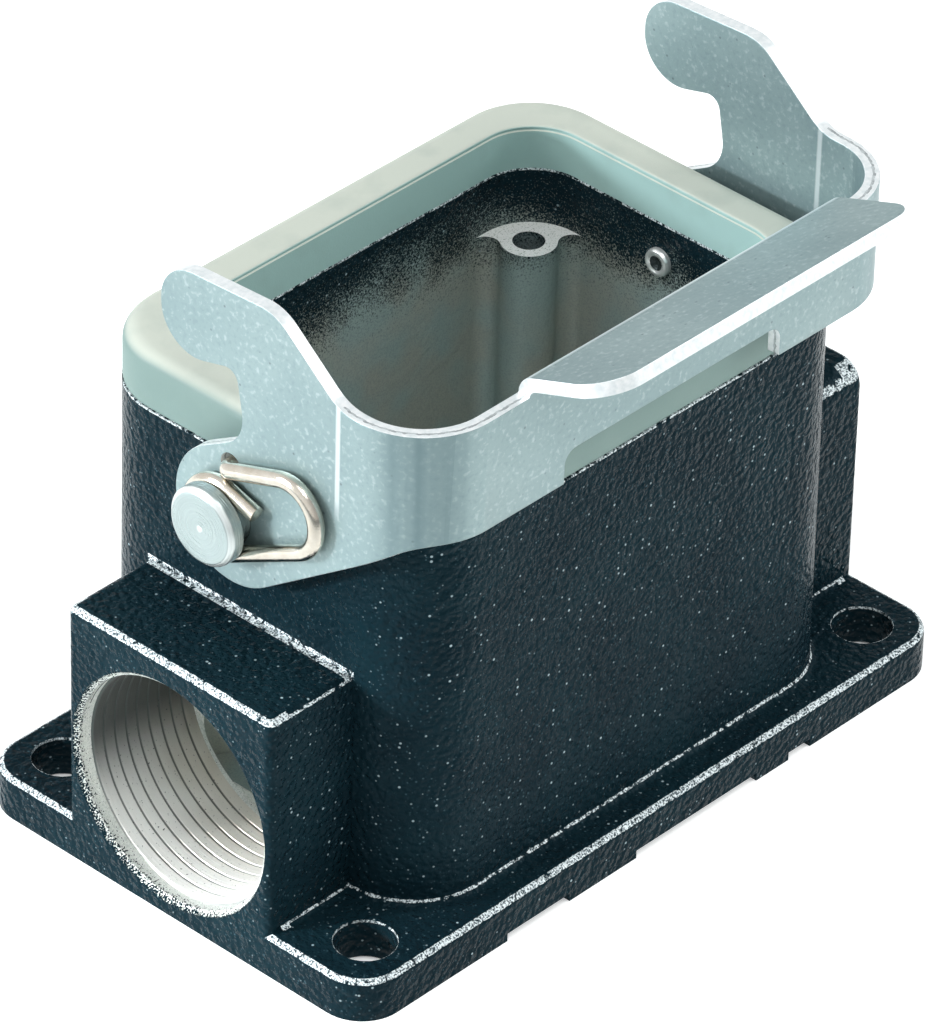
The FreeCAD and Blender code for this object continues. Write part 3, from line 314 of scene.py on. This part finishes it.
# the screw holes are painted darker inside, a painted shade
metal = add(casting, "Mix", {0: screw_hole, 6: metal, 7: linear("#7d8b8b")}, output=2, data_type="RGBA")
colour = add(casting, "Mix", {0: bare, 6: coat, 7: metal}, output=2, data_type="RGBA")
shine = add(casting, "Math", {0: bare_inside, 1: 0.15}, operation="MULTIPLY")
shine = add(casting, "Math", {0: bore, 1: 0.35, 2: shine}, operation="MULTIPLY_ADD")
rough = add(casting, "MapRange", {0: bare, 3: 0.17, 4: 0.42})
relief = add(casting, "MapRange", {0: bare, 3: 1.0, 4: 0.22})
height = add(casting, "Math", {0: pebble, 1: -0.45, 2: peel}, operation="MULTIPLY_ADD")
height = add(casting, "Math", {0: height, 1: relief}, operation="MULTIPLY")
bump = add(casting, "Bump", {"Strength": 0.9, "Distance": 0.00036, "Height": height})
surface = add(casting, "BsdfPrincipled", {"Base Color": colour, "Metallic": shine, "Roughness": rough,
              "Specular IOR Level": 0.045, "Specular Tint": (0.65, 0.88, 1.0, 1.0), "Normal": bump})
add(casting, "OutputMaterial", {0: surface})
housing = nodes["housing"]
housing.data.materials.clear()
housing.data.materials.append(casting)


def skin(name, grid, material, turn_rows=False, turn_columns=False, crease=35):
    """A closed or open surface over a grid of points in millimetres.

    Square (i, j) joins points (i, j), (i + 1, j), (i + 1, j + 1) and (i, j + 1); a direction that
    turns joins its last points to its first, and points that coincide become one.
    """
    rows, columns = grid.shape[:2]
    index = np.arange(rows * columns).reshape(rows, columns)
    if turn_rows:
        index = np.vstack([index, index[:1]])
    if turn_columns:
        index = np.hstack([index, index[:, :1]])
    squares = np.stack([index[:-1, :-1], index[1:, :-1], index[1:, 1:], index[:-1, 1:]], axis=-1).reshape(-1, 4)
    mesh = bpy.data.meshes.new(name)
    mesh.from_pydata(grid.reshape(-1, 3) / 1000, [], squares.tolist())
    work = bmesh.new()
    work.from_mesh(mesh)
    bmesh.ops.remove_doubles(work, verts=work.verts, dist=1e-7)
    bmesh.ops.recalc_face_normals(work, faces=work.faces)
    work.to_mesh(mesh)
    work.free()
    mesh.shade_smooth()
    mesh.set_sharp_from_angle(angle=math.radians(crease))
    mesh.materials.append(material)
    piece = bpy.data.objects.new(name, mesh)
    bpy.context.scene.collection.objects.link(piece)
    return piece


# Entry thread: cut in the bore after casting, 25 mm across at 1.5 mm pitch, left bare.
# Each ridge stands in from the bore's wall, and the first and last half turns run out.
PITCH, RIDGE_BASE, RIDGE_CREST = 1.5, 12.48, 12.16
THREAD_START, THREAD_TURNS = -41.6, 9.8
along = np.linspace(0, THREAD_TURNS * 2 * math.pi, int(THREAD_TURNS * 120) + 1)[:, None]
section_x = np.array([-0.745, -0.7, -0.64, -0.59, 0.59, 0.64, 0.7, 0.745])[None, :]
section_r = np.array([0.0, 0.1, 0.8, 1.0, 1.0, 0.8, 0.1, 0.0])[None, :]
# A ridge's size grows from 0 to 1 over the first half turn and falls again over the last
grown = np.clip(np.minimum(along, along[-1] - along) / math.pi, 0, 1)
ridge_x = THREAD_START + PITCH * (0.5 + along / (2 * math.pi)) + section_x * grown
ridge_r = RIDGE_BASE - (RIDGE_BASE - RIDGE_CREST) * section_r * grown
thread_grid = np.stack([ridge_x, ridge_r * np.cos(along), BORE_HEIGHT + ridge_r * np.sin(along)], axis=-1)

# Cut aluminium: bright and fine lined along the cut, with paint dust near the mouth
cut, place = new_finish("machined aluminium")
x = add(cut, "SeparateXYZ", {0: place})
from_axis = add(cut, "VectorMath", {0: place, 1: (0, 0, BORE_HEIGHT)}, operation="SUBTRACT")
fine = add(cut, "TexNoise", {"Vector": place, "Scale": 4.5, "Detail": 2.0})
cloud = add(cut, "TexNoise", {"Vector": place, "Scale": 0.22, "Detail": 1.0})
deep = add(cut, "MapRange", {0: x, 1: -38.0, 2: -27.0}, interpolation_type="SMOOTHSTEP")
cloud = add(cut, "Math", {0: cloud, 1: 0.15}, operation="ADD")
deep = add(cut, "Math", {0: deep, 1: cloud}, operation="MULTIPLY")
tone = add(cut, "Mix", {0: deep, 6: linear("#fafaf6"), 7: linear("#c4bba8")}, output=2, data_type="RGBA")
low_side = add(cut, "VectorMath", {0: from_axis, 1: (0, 0.06, -0.05)}, output=1, operation="DOT_PRODUCT")
low_side = add(cut, "MapRange", {0: low_side, 1: -0.6, 2: 0.6, 3: 0.2, 4: 1.0})
# the cut is painted darker towards the top of the bore, a painted shade, and is rougher there
up_side = add(cut, "VectorMath", {0: from_axis, 1: (0, 0.04, 0.07)}, output=1, operation="DOT_PRODUCT")
darkened = add(cut, "MapRange", {0: up_side, 1: -0.4, 2: 0.5, 3: 0.0, 4: 0.95}, interpolation_type="SMOOTHSTEP")
tone = add(cut, "Mix", {0: darkened, 6: tone, 7: linear("#1c2423")}, output=2, data_type="RGBA")
# the grooves between the ridges are painted darker, a painted shade
groove = add(cut, "VectorMath", {0: from_axis, 1: (0, 1, 1)}, operation="MULTIPLY")
groove = add(cut, "VectorMath", {0: groove}, output=1, operation="LENGTH")
groove = add(cut, "MapRange", {0: groove, 1: RIDGE_CREST + 0.02, 2: RIDGE_CREST + 0.1, 3: 0.0, 4: 0.75})
tone = add(cut, "Mix", {0: groove, 6: tone, 7: linear("#4c5754")}, output=2, data_type="RGBA")
near_mouth = add(cut, "MapRange", {0: x, 1: BORE_START, 2: BORE_START + 1.8, 3: 0.27, 4: 0.0})
near_mouth = add(cut, "Math", {0: near_mouth, 1: low_side, 2: fine}, operation="MULTIPLY_ADD")
speck = add(cut, "MapRange", {0: near_mouth, 1: 0.68, 2: 0.73})
tone = add(cut, "Mix", {0: speck, 6: tone, 7: linear("#2a343a")}, output=2, data_type="RGBA")
stretched = add(cut, "VectorMath", {0: place, 1: (9.0, 0.15, 0.15)}, operation="MULTIPLY")
lines = add(cut, "TexNoise", {"Vector": stretched, "Scale": 1.0, "Detail": 2.0})
rougher_towards_top = add(cut, "MapRange", {0: darkened, 3: 0.34, 4: 0.6})
bump = add(cut, "Bump", {"Strength": 0.4, "Distance": 0.0001, "Height": lines})
surface = add(cut, "BsdfPrincipled", {"Base Color": tone, "Metallic": 0.2, "Roughness": rougher_towards_top, "Normal": bump})
add(cut, "OutputMaterial", {0: surface})
thread = skin("entry_thread", thread_grid, cut, turn_columns=True, crease=50)
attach(thread, "housing")

# Rim seal: one frame of moulded silicone, pressed down over the rib on the rim.
# Its outer top edge is well rounded; a fine moulding lip runs round inside.
SEAL_WALL, SEAL_TOP, SEAL_ROUND, SEAL_LIP = 4.6, 52.9, 1.6, 0.35
INNER_CORNER, CORNER_GROWTH = 6.0, 2.2
# The seal's section, from its inner face over the top and down the outside to the rim:
# distance out from the inner face, and height
round_turn = np.linspace(0, math.pi / 2, 9)
lip_turn = np.linspace(math.pi, math.pi / 2, 5)
profile = np.concatenate([[[0.0, RIB_HEIGHT + 0.02], [0.0, 50.4], [0.0, 52.3], [0.14, 52.4], [0.16, 52.6]],
                          np.stack([SEAL_LIP + (SEAL_LIP - 0.05) * np.cos(lip_turn),
                                    SEAL_TOP - 0.2 + 0.2 * np.sin(lip_turn)], axis=1),
                          [[0.9, SEAL_TOP], [1.4, SEAL_TOP], [2.4, SEAL_TOP]],
                          np.stack([SEAL_WALL - SEAL_ROUND + SEAL_ROUND * np.sin(round_turn),
                                    SEAL_TOP - SEAL_ROUND + SEAL_ROUND * np.cos(round_turn)], axis=1),
                          [[SEAL_WALL, 49.6], [SEAL_WALL, 47.35], [SEAL_WALL - 0.12, 47.06],
                           [SEAL_WALL - 0.4, RIM_HEIGHT], [1.95, RIM_HEIGHT], [1.95, RIB_HEIGHT + 0.02]]])
# Round a rectangle with round corners: corner centre plus radius times the outward direction,
# both growing evenly from the inner face (offset 0) to the outer one (offset SEAL_WALL)
corner_turn = np.linspace(0, math.pi / 2, 17)
turns = np.concatenate([corner_turn + quarter * math.pi / 2 for quarter in range(4)])[:, None]
side_x = np.repeat([1, -1, -1, 1], len(corner_turn))[:, None]
side_y = np.repeat([1, 1, -1, -1], len(corner_turn))[:, None]
offset = profile[None, :, 0]
corner_radius = INNER_CORNER + CORNER_GROWTH * offset / SEAL_WALL
ring_x = side_x * (CAVITY_HALF_LENGTH + offset - corner_radius) + corner_radius * np.cos(turns)
ring_y = side_y * (CAVITY_HALF_WIDTH + offset - corner_radius) + corner_radius * np.sin(turns)
ring_z = np.broadcast_to(profile[None, :, 1], ring_x.shape)

# Silicone: matt and pale; its top is painted paler and its sides greyer and greener, painted light and shade
silicone, place = new_finish("moulded silicone")
facing = add(silicone, "SeparateXYZ", {0: add(silicone, "TexCoord", output=1)}, output=2)
cloud = add(silicone, "TexNoise", {"Vector": place, "Scale": 0.25, "Detail": 3.0})
fine = add(silicone, "TexNoise", {"Vector": place, "Scale": 7.0, "Detail": 1.0})
top = add(silicone, "MapRange", {0: facing, 1: 0.35, 2: 0.9}, interpolation_type="SMOOTHSTEP")
mirrored = add(silicone, "VectorMath", {0: place}, operation="ABSOLUTE")
past_wall = add(silicone, "VectorMath",
                {0: mirrored, 1: (CAVITY_HALF_LENGTH + 0.3, CAVITY_HALF_WIDTH + 0.3, 0)}, operation="SUBTRACT")
past_wall = [add(silicone, "SeparateXYZ", {0: past_wall}, output=axis) for axis in (0, 1)]
past_wall = add(silicone, "Math", {0: past_wall[0], 1: past_wall[1]}, operation="MAXIMUM")
inner = add(silicone, "Math", {0: past_wall, 1: 0.0}, operation="LESS_THAN")
shaded_side_tone = add(silicone, "Mix", {0: inner, 6: linear("#768d88"), 7: linear("#a3c3be")}, output=2,
                data_type="RGBA")
tone = add(silicone, "Mix", {0: top, 6: shaded_side_tone, 7: linear("#c8cdc1")}, output=2, data_type="RGBA")
grime = add(silicone, "MapRange", {0: cloud, 1: 0.5, 2: 0.7, 3: 0.0, 4: 0.15})
tone = add(silicone, "Mix", {0: grime, 6: tone, 7: linear("#869a94")}, output=2, data_type="RGBA")
bump = add(silicone, "Bump", {"Strength": 0.15, "Distance": 0.0001, "Height": fine})
surface = add(silicone, "BsdfPrincipled", {"Base Color": tone, "Roughness": 0.55, "IOR": 1.41,
              "Specular IOR Level": 0.4, "Normal": bump})
add(silicone, "OutputMaterial", {0: surface})
seal = skin("rim_seal_moulding", np.stack([ring_x, ring_y, ring_z], axis=-1), silicone, True, True)
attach(seal, "housing")
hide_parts("rim_seal")

# Pivot pins: turned steel, pressed through the end walls and riveted over inside.
# The collar carries the lever, the groove takes the wire clip, the head keeps it on.
PIVOT_HEIGHT, HEAD_RADIUS, RIVETED_BELOW = 43.5, 4.2, 30.0
# A pin's outline, from its riveted end to its head: distance from the part's middle, and radius
pin_profile = np.array([[26.05, 0.0], [25.95, 0.4], [25.7, 0.85], [25.6, 1.1], [25.64, 1.35], [25.8, 1.49],
                        [26.05, 1.55], [26.32, 1.55], [26.32, 1.35], [31.0, 1.35], [31.0, 4.28], [31.12, 4.4],
                        [32.5, 4.4], [32.62, 4.28], [32.62, 3.0], [34.25, 3.0], [34.25, 2.85], [36.17, 2.85],
                        [36.17, 4.08], [36.29, 4.2], [37.3, 4.2], [37.46, 4.16], [37.84, 3.78], [37.93, 3.6],
                        [37.95, 3.4], [37.95, 2.6], [37.94, 1.3], [37.9, 0.35], [37.84, 0.0]])
turned, place = new_finish("turned plated steel")
x, y, z = (add(turned, "SeparateXYZ", {0: place}, output=axis) for axis in range(3))
away = add(turned, "CombineXYZ", {1: y, 2: add(turned, "Math", {0: z, 1: PIVOT_HEIGHT}, operation="SUBTRACT")})
out = add(turned, "VectorMath", {0: away}, output=1, operation="LENGTH")
wobble = add(turned, "TexNoise", {"Vector": place, "Scale": 0.9, "Detail": 3.0})
# tool marks: rings 0.15 mm apart across the faces and along the sides
marks = add(turned, "CombineXYZ", {0: add(turned, "Math", {0: out, 1: 6.0}, operation="MULTIPLY"),
                                   1: add(turned, "Math", {0: x, 1: 6.0}, operation="MULTIPLY")})
rings = add(turned, "TexNoise", {"Vector": marks, "Scale": 1.0, "Detail": 2.0})
tone = add(turned, "Mix", {0: rings, 6: linear("#9dadad"), 7: linear("#b7c5c4")}, output=2, data_type="RGBA")
pip = add(turned, "MapRange", {0: add(turned, "Math", {0: wobble, 1: 0.6, 2: out}, operation="MULTIPLY_ADD"),
                               1: 0.45, 2: 0.75, 3: 1.0, 4: 0.0}, interpolation_type="SMOOTHSTEP")
tone = add(turned, "Mix", {0: pip, 6: tone, 7: linear("#f0f2ee")}, output=2, data_type="RGBA")
# the riveted end inside the cavity is painted bright, a painted highlight, and its punched middle dark, a
# painted shade
riveted = add(turned, "Math", {0: x}, operation="ABSOLUTE")
riveted = add(turned, "Math", {0: riveted, 1: RIVETED_BELOW}, operation="LESS_THAN")
punched = add(turned, "Math", {0: out, 1: 0.8}, operation="LESS_THAN")
punched = add(turned, "Math", {0: punched, 1: riveted}, operation="MULTIPLY")
tone = add(turned, "Mix", {0: riveted, 6: tone, 7: linear("#f4f7f6")}, output=2, data_type="RGBA")
tone = add(turned, "Mix", {0: punched, 6: tone, 7: linear("#414a4c")}, output=2, data_type="RGBA")
# and the broken edge round the outer face is painted bright, a painted highlight
head_edge = add(turned, "Math", {0: out, 1: HEAD_RADIUS - 0.25, 2: 0.22}, operation="COMPARE")
head_edge = add(turned, "Math", {0: head_edge, 1: 0.6}, operation="MULTIPLY")
tone = add(turned, "Mix", {0: head_edge, 6: tone, 7: linear("#eef2f0")}, output=2, data_type="RGBA")
bump = add(turned, "Bump", {"Strength": 0.35, "Distance": 0.0002, "Height": rings})
surface = add(turned, "BsdfPrincipled",
              {"Base Color": tone, "Metallic": 0.7, "Roughness": 0.26, "Normal": bump})
add(turned, "OutputMaterial", {0: surface})
# A turned piece: every profile point (along, radius) goes round the pin's axis
round_axis = np.linspace(0, 2 * math.pi, 72, endpoint=False)[None, :]
for end, side in (("cable_end", -1), ("closed_end", 1)):
    reach_x = side * pin_profile[:, :1] + 0 * round_axis
    pin_grid = np.stack([reach_x, pin_profile[:, 1:] * np.cos(round_axis),
                         PIVOT_HEIGHT + pin_profile[:, 1:] * np.sin(round_axis)], axis=-1)
    pin = skin("turned_pin_" + end, pin_grid, turned, turn_columns=True, crease=30)
    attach(pin, "housing")
    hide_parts("pivot_pin_" + end)

# Wire clips: plated spring wire, cut square, bent round the pin's groove, out in a loop
# along the lever's arm, and back to a short leg hooked through a hole in the arm.
WIRE_RADIUS, CLIP_PLANE, ARM_INSIDE, LEG_BEND = 0.85, 35.2, 32.75, 1.1
# Corners of the centre line in the clip's plane: out from the pivot, up from it, bend radius
clip_corners = np.array([
    [3.82, 5.07, 3.82], [3.82, -6.298, 3.82], [-12.5, 2.207, 3.8], [-12.5, 9.834, 3.6],
])
clip_start, clip_leg = np.array([-4.8, 2.6]), np.array([-0.45, 5.62])
before = np.vstack([clip_start, clip_corners[:-1, :2]]) - clip_corners[:, :2]
after = np.vstack([clip_corners[1:, :2], clip_leg]) - clip_corners[:, :2]
before /= np.linalg.norm(before, axis=1, keepdims=True)
after /= np.linalg.norm(after, axis=1, keepdims=True)
# A bend's centre lies on the corner's bisector at radius / sin(half angle); the bend runs from
# the foot of the centre on the first side to its foot on the second
half = np.arccos(np.clip((before * after).sum(axis=1, keepdims=True), -1, 1)) / 2
radius = clip_corners[:, 2:]
bisector = before + after
bisector /= np.linalg.norm(bisector, axis=1, keepdims=True)
centre = clip_corners[:, :2] + bisector * radius / np.sin(half)
first = clip_corners[:, :2] + before * radius / np.tan(half) - centre
across = -bisector * radius
span = np.linspace(-1, 1, 25)[None, :, None] * (math.pi / 2 - half)[:, :, None]
sideways = first - (first * bisector).sum(axis=1, keepdims=True) * bisector
sideways /= np.linalg.norm(sideways, axis=1, keepdims=True)
arcs = (centre[:, None, :] + across[:, None, :] * np.cos(span)
        - sideways[:, None, :] * radius[:, None, :] * np.sin(span))
homeward = clip_leg - clip_corners[-1, :2]
homeward /= np.linalg.norm(homeward)
flat = np.vstack([clip_start, arcs.reshape(-1, 2), clip_leg - homeward * LEG_BEND])
leg_turn = np.linspace(0, math.pi / 2, 13)[1:, None]
leg_flat = clip_leg - homeward * LEG_BEND * (1 - np.sin(leg_turn))
leg_in = CLIP_PLANE - LEG_BEND * (1 - np.cos(leg_turn))
route = np.vstack([
    np.hstack([np.full((len(flat), 1), CLIP_PLANE), flat]),
    np.hstack([leg_in, leg_flat]),
    [[ARM_INSIDE, *clip_leg]],
])
# A tube round the route: at each point a circle in the plane across the run, on two
# directions made from the run and, for the flat part, the clip's own normal
step = np.gradient(route, axis=0)
step /= np.linalg.norm(step, axis=1, keepdims=True)
edge_on = np.cross(step, np.array([1.0, 0.0, 0.0]))
in_leg = len(leg_turn) + 1
edge_on[-in_leg:] = edge_on[-in_leg - 1]
edge_on /= np.linalg.norm(edge_on, axis=1, keepdims=True)
other = np.cross(step, edge_on)
# Both ends are cut square with a broken edge: rings of 0, 0.92 and 1 radius, the last 0.05 mm in
ends = np.array([[0, 0.0], [0, 0.92], [0.05, 1.0]])
stations = np.concatenate([[0, 0, 0], np.arange(1, len(route) - 1), [len(route) - 1] * 3])
scale = np.concatenate([ends[:, 1], np.ones(len(route) - 2), ends[::-1, 1]])
push = np.concatenate([ends[:, 0], np.zeros(len(route) - 2), -ends[::-1, 0]])
round_wire = np.linspace(0, 2 * math.pi, 28, endpoint=False)[None, :, None]
circle = np.cos(round_wire) * edge_on[stations][:, None, :] + np.sin(round_wire) * other[stations][:, None, :]
tube = ((route[stations] + step[stations] * push[:, None])[:, None, :]
        + circle * (WIRE_RADIUS * scale)[:, None, None])
tube[..., 2] += PIVOT_HEIGHT

# Nickel plated spring steel: a warm mirror finish with faint drawing lines
plated, place = new_finish("nickel plated spring wire")
cloud = add(plated, "TexNoise", {"Vector": place, "Scale": 0.8, "Detail": 3.0})
fine = add(plated, "TexNoise", {"Vector": place, "Scale": 9.0, "Detail": 1.0})
tone = add(plated, "Mix",
           {0: add(plated, "MapRange", {0: cloud, 1: 0.3, 2: 0.7}), 6: linear("#d2cabc"), 7: linear("#e0dbd0")},
           output=2, data_type="RGBA")
bump = add(plated, "Bump", {"Strength": 0.2, "Distance": 0.00005, "Height": fine})
surface = add(plated, "BsdfPrincipled",
              {"Base Color": tone, "Metallic": 1.0, "Roughness": 0.16, "Normal": bump})
add(plated, "OutputMaterial", {0: surface})
for end, side in (("cable_end", -1), ("closed_end", 1)):
    clip = skin("sprung_clip_" + end, tube * np.array([side, 1, 1]), plated, turn_columns=True, crease=50)
    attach(clip, "lever")
    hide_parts("wire_clip_" + end)

# Locking lever: one steel sheet, blanked, folded into a U and zinc plated.
# Its cut edges are a little broken, and catch the light.
HANDLE_FOOT, BEND_START, LINE_FOOT = 61.95, 14.2, 49.5
LIP_START, LIP_FOOT, LIP_TILT, FOLD_START = -28, 60, math.radians(20), -23.6
sheet_steel, place = new_finish("zinc plated sheet steel")
y, z = (add(sheet_steel, "SeparateXYZ", {0: place}, output=axis) for axis in (1, 2))
cloud = add(sheet_steel, "TexNoise", {"Vector": place, "Scale": 0.1, "Detail": 2.0})
fine = add(sheet_steel, "TexNoise", {"Vector": place, "Scale": 1.7, "Detail": 4.0})
pit = add(sheet_steel, "TexVoronoi", {"Vector": place, "Scale": 0.55})
tone = add(sheet_steel, "Mix",
           {0: add(sheet_steel, "MapRange", {0: cloud, 1: 0.35, 2: 0.65}), 6: linear("#8aa0a2"),
            7: linear("#95aaab")}, output=2, data_type="RGBA")
flecks = add(sheet_steel, "MapRange", {0: fine, 1: 0.56, 2: 0.72, 3: 0.0, 4: 0.4})
tone = add(sheet_steel, "Mix", {0: flecks, 6: tone, 7: linear("#cbd9da")}, output=2, data_type="RGBA")
darkened = add(sheet_steel, "MapRange", {0: fine, 1: 0.3, 2: 0.45, 3: 0.4, 4: 0.0})
tone = add(sheet_steel, "Mix", {0: darkened, 6: tone, 7: linear("#7c9196")}, output=2, data_type="RGBA")
pits = add(sheet_steel, "MapRange", {0: pit, 1: 0.04, 2: 0.1, 3: 0.6, 4: 0.0})
tone = add(sheet_steel, "Mix", {0: pits, 6: tone, 7: linear("#4d5a60")}, output=2, data_type="RGBA")
# the fold along the handle is painted bright, a painted highlight, with a painted shade line where it starts
outwards = add(sheet_steel, "TexCoord", output=1)
turned_to = add(sheet_steel, "SeparateXYZ", {0: outwards}, output=1)
at_handle = add(sheet_steel, "Math", {0: z, 1: HANDLE_FOOT}, operation="GREATER_THAN")
fold = add(sheet_steel, "MapRange", {0: turned_to, 1: 0.42, 2: 0.5, 3: 0.0, 4: 0.8})
tone = add(sheet_steel, "Mix",
           {0: add(sheet_steel, "Math", {0: fold, 1: at_handle}, operation="MULTIPLY"), 6: tone,
            7: linear("#dfe8e9")}, output=2, data_type="RGBA")
crease = add(sheet_steel, "Math", {0: turned_to, 1: 0.38, 2: 0.03}, operation="COMPARE")
tone = add(sheet_steel, "Mix",
           {0: add(sheet_steel, "Math", {0: crease, 1: at_handle}, operation="MULTIPLY"), 6: tone,
            7: linear("#2f3d42")}, output=2, data_type="RGBA")
# a painted highlight, a bright upright line, crosses each arm where the corner's bend starts
bend_line = add(sheet_steel, "Math", {0: y, 1: BEND_START}, operation="ADD")
bend_line = add(sheet_steel, "Math", {0: bend_line}, operation="ABSOLUTE")
bend_line = add(sheet_steel, "MapRange", {0: bend_line, 1: 0.15, 2: 0.4, 3: 0.85, 4: 0.0},
                interpolation_type="SMOOTHSTEP")
line_foot = add(sheet_steel, "MapRange", {0: z, 1: LINE_FOOT, 2: LINE_FOOT + 2.5})
bend_line = add(sheet_steel, "Math", {0: bend_line, 1: line_foot}, operation="MULTIPLY")
tone = add(sheet_steel, "Mix", {0: bend_line, 6: tone, 7: linear("#d8e2e3")}, output=2, data_type="RGBA")
# the corners are painted darker in upright bands, where the normal lies between X and Y, a painted reflection
bent = add(sheet_steel, "SeparateXYZ", {0: outwards})
bent = add(sheet_steel, "Math", {0: bent, 1: turned_to}, operation="MULTIPLY")
bent = add(sheet_steel, "Math", {0: bent}, operation="ABSOLUTE")
bent = add(sheet_steel, "MapRange", {0: bent, 1: 0.2, 2: 0.42}, interpolation_type="SMOOTHSTEP")
bands = add(sheet_steel, "VectorMath", {0: outwards, 1: (2.2, 2.2, 0)}, operation="MULTIPLY")
bands = add(sheet_steel, "TexNoise", {"Vector": bands, "Scale": 2.0, "Detail": 2.0})
bands = add(sheet_steel, "MapRange", {0: bands, 1: 0.35, 2: 0.6, 3: 0.9, 4: 0.4})
bent = add(sheet_steel, "Math", {0: bent, 1: bands}, operation="MULTIPLY")
tone = add(sheet_steel, "Mix", {0: bent, 6: tone, 7: linear("#6f878b")}, output=2, data_type="RGBA")
bump = add(sheet_steel, "Bump", {"Strength": 0.25, "Distance": 0.0001, "Height": fine})
surface = add(sheet_steel, "BsdfPrincipled",
              {"Base Color": tone, "Metallic": 0.5, "Roughness": 0.4, "Normal": bump})
add(sheet_steel, "OutputMaterial", {0: surface})

# The sheared edge of the same sheet: bright, with a dark torn line near its middle
CORNER_X, CORNER_Y, SHEET_MIDDLE = 25.75, -16.7, 7.75
sheared, place = new_finish("sheared edge of plated sheet")
x, y, z = (add(sheared, "SeparateXYZ", {0: place}, output=axis) for axis in range(3))
streak = add(sheared, "TexNoise", {"Vector": place, "Scale": 1.6, "Detail": 3.0})
tone = add(sheared, "Mix",
           {0: add(sheared, "MapRange", {0: streak, 1: 0.3, 2: 0.7}), 6: linear("#e2e9ea"),
            7: linear("#fbfdfd")}, output=2, data_type="RGBA")
# the torn line keeps its distance from the corner axis, or from the line between the two axes
past_x = add(sheared, "Math", {0: x}, operation="ABSOLUTE")
past_x = add(sheared, "Math", {0: past_x, 1: CORNER_X}, operation="SUBTRACT")
past_x = add(sheared, "Math", {0: past_x, 1: 0.0}, operation="MAXIMUM")
past_y = add(sheared, "Math", {0: y, 1: CORNER_Y}, operation="SUBTRACT")
past_y = add(sheared, "Math", {0: past_y, 1: 0.0}, operation="MINIMUM")
through = add(sheared, "CombineXYZ", {0: past_x, 1: past_y})
through = add(sheared, "VectorMath", {0: through}, output=1, operation="LENGTH")
torn = add(sheared, "Math", {0: streak, 1: 0.5, 2: SHEET_MIDDLE - 0.1}, operation="MULTIPLY_ADD")
torn = add(sheared, "Math", {0: through, 1: torn, 2: 0.13}, operation="COMPARE")
below_fold = add(sheared, "Math", {0: z, 1: HANDLE_FOOT + 0.35}, operation="LESS_THAN")
torn = add(sheared, "Math", {0: torn, 1: below_fold}, operation="MULTIPLY")
broken_up = add(sheared, "MapRange", {0: streak, 1: 0.35, 2: 0.6, 3: 0.25, 4: 0.7})
torn = add(sheared, "Math", {0: torn, 1: broken_up}, operation="MULTIPLY")
tone = add(sheared, "Mix", {0: torn, 6: tone, 7: linear("#5a686c")}, output=2, data_type="RGBA")
bump = add(sheared, "Bump", {"Strength": 0.3, "Distance": 0.00012, "Height": streak})
surface = add(sheared, "BsdfPrincipled",
              {"Base Color": tone, "Metallic": 0.3, "Roughness": 0.32, "Normal": bump})
add(sheared, "OutputMaterial", {0: surface})
blank = nodes["locking_lever"].data.copy()
blank.name = "folded_lever"
work = bmesh.new()
work.from_mesh(blank)
bmesh.ops.remove_doubles(work, verts=work.verts, dist=2e-6)
bmesh.ops.dissolve_limit(work, angle_limit=math.radians(0.5), verts=work.verts, edges=work.edges)
work.to_mesh(blank)
work.free()
# A face is a cut edge where its normal stands across the sheet's own: outwards from the band's
# corner axes at (+-CORNER_X, CORNER_Y) below the handle, and tilted by LIP_TILT on the lip
count = len(blank.polygons)
middles, normals = np.empty(count * 3), np.empty(count * 3)
blank.polygons.foreach_get("center", middles)
blank.polygons.foreach_get("normal", normals)
middles, normals = middles.reshape(-1, 3) * 1000, normals.reshape(-1, 3)
band_out = np.stack([middles[:, 0] - np.clip(middles[:, 0], -CORNER_X, CORNER_X),
                     np.minimum(middles[:, 1] - CORNER_Y, 0)], axis=1)
band_out /= np.maximum(np.linalg.norm(band_out, axis=1, keepdims=True), 1e-9)
along_band = np.abs((band_out * normals[:, :2]).sum(axis=1))
along_lip = np.abs(normals @ np.array([0, math.sin(LIP_TILT), math.cos(LIP_TILT)]))
on_lip = (middles[:, 1] < LIP_START) & (middles[:, 2] > LIP_FOOT)
on_fold = (middles[:, 1] < FOLD_START) & (middles[:, 2] > HANDLE_FOOT - 0.05) & ~on_lip
is_cut = np.where(on_lip, along_lip < 0.5, np.where(on_fold, np.abs(normals[:, 0]) > 0.5, along_band < 0.6))
blank.materials.clear()
blank.materials.append(sheet_steel)
blank.materials.append(sheared)
blank.polygons.foreach_set("material_index", is_cut.astype(np.int32))
blank.shade_smooth()
blank.set_sharp_from_angle(angle=math.radians(35))
lever = bpy.data.objects.new("folded_lever", blank)
bpy.context.scene.collection.objects.link(lever)
broken = lever.modifiers.new("broken edges", "BEVEL")
broken.width, broken.segments, broken.limit_method, broken.angle_limit = 0.00018, 2, "ANGLE", math.radians(40)
broken.harden_normals = True
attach(lever, "lever")
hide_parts("locking_lever")
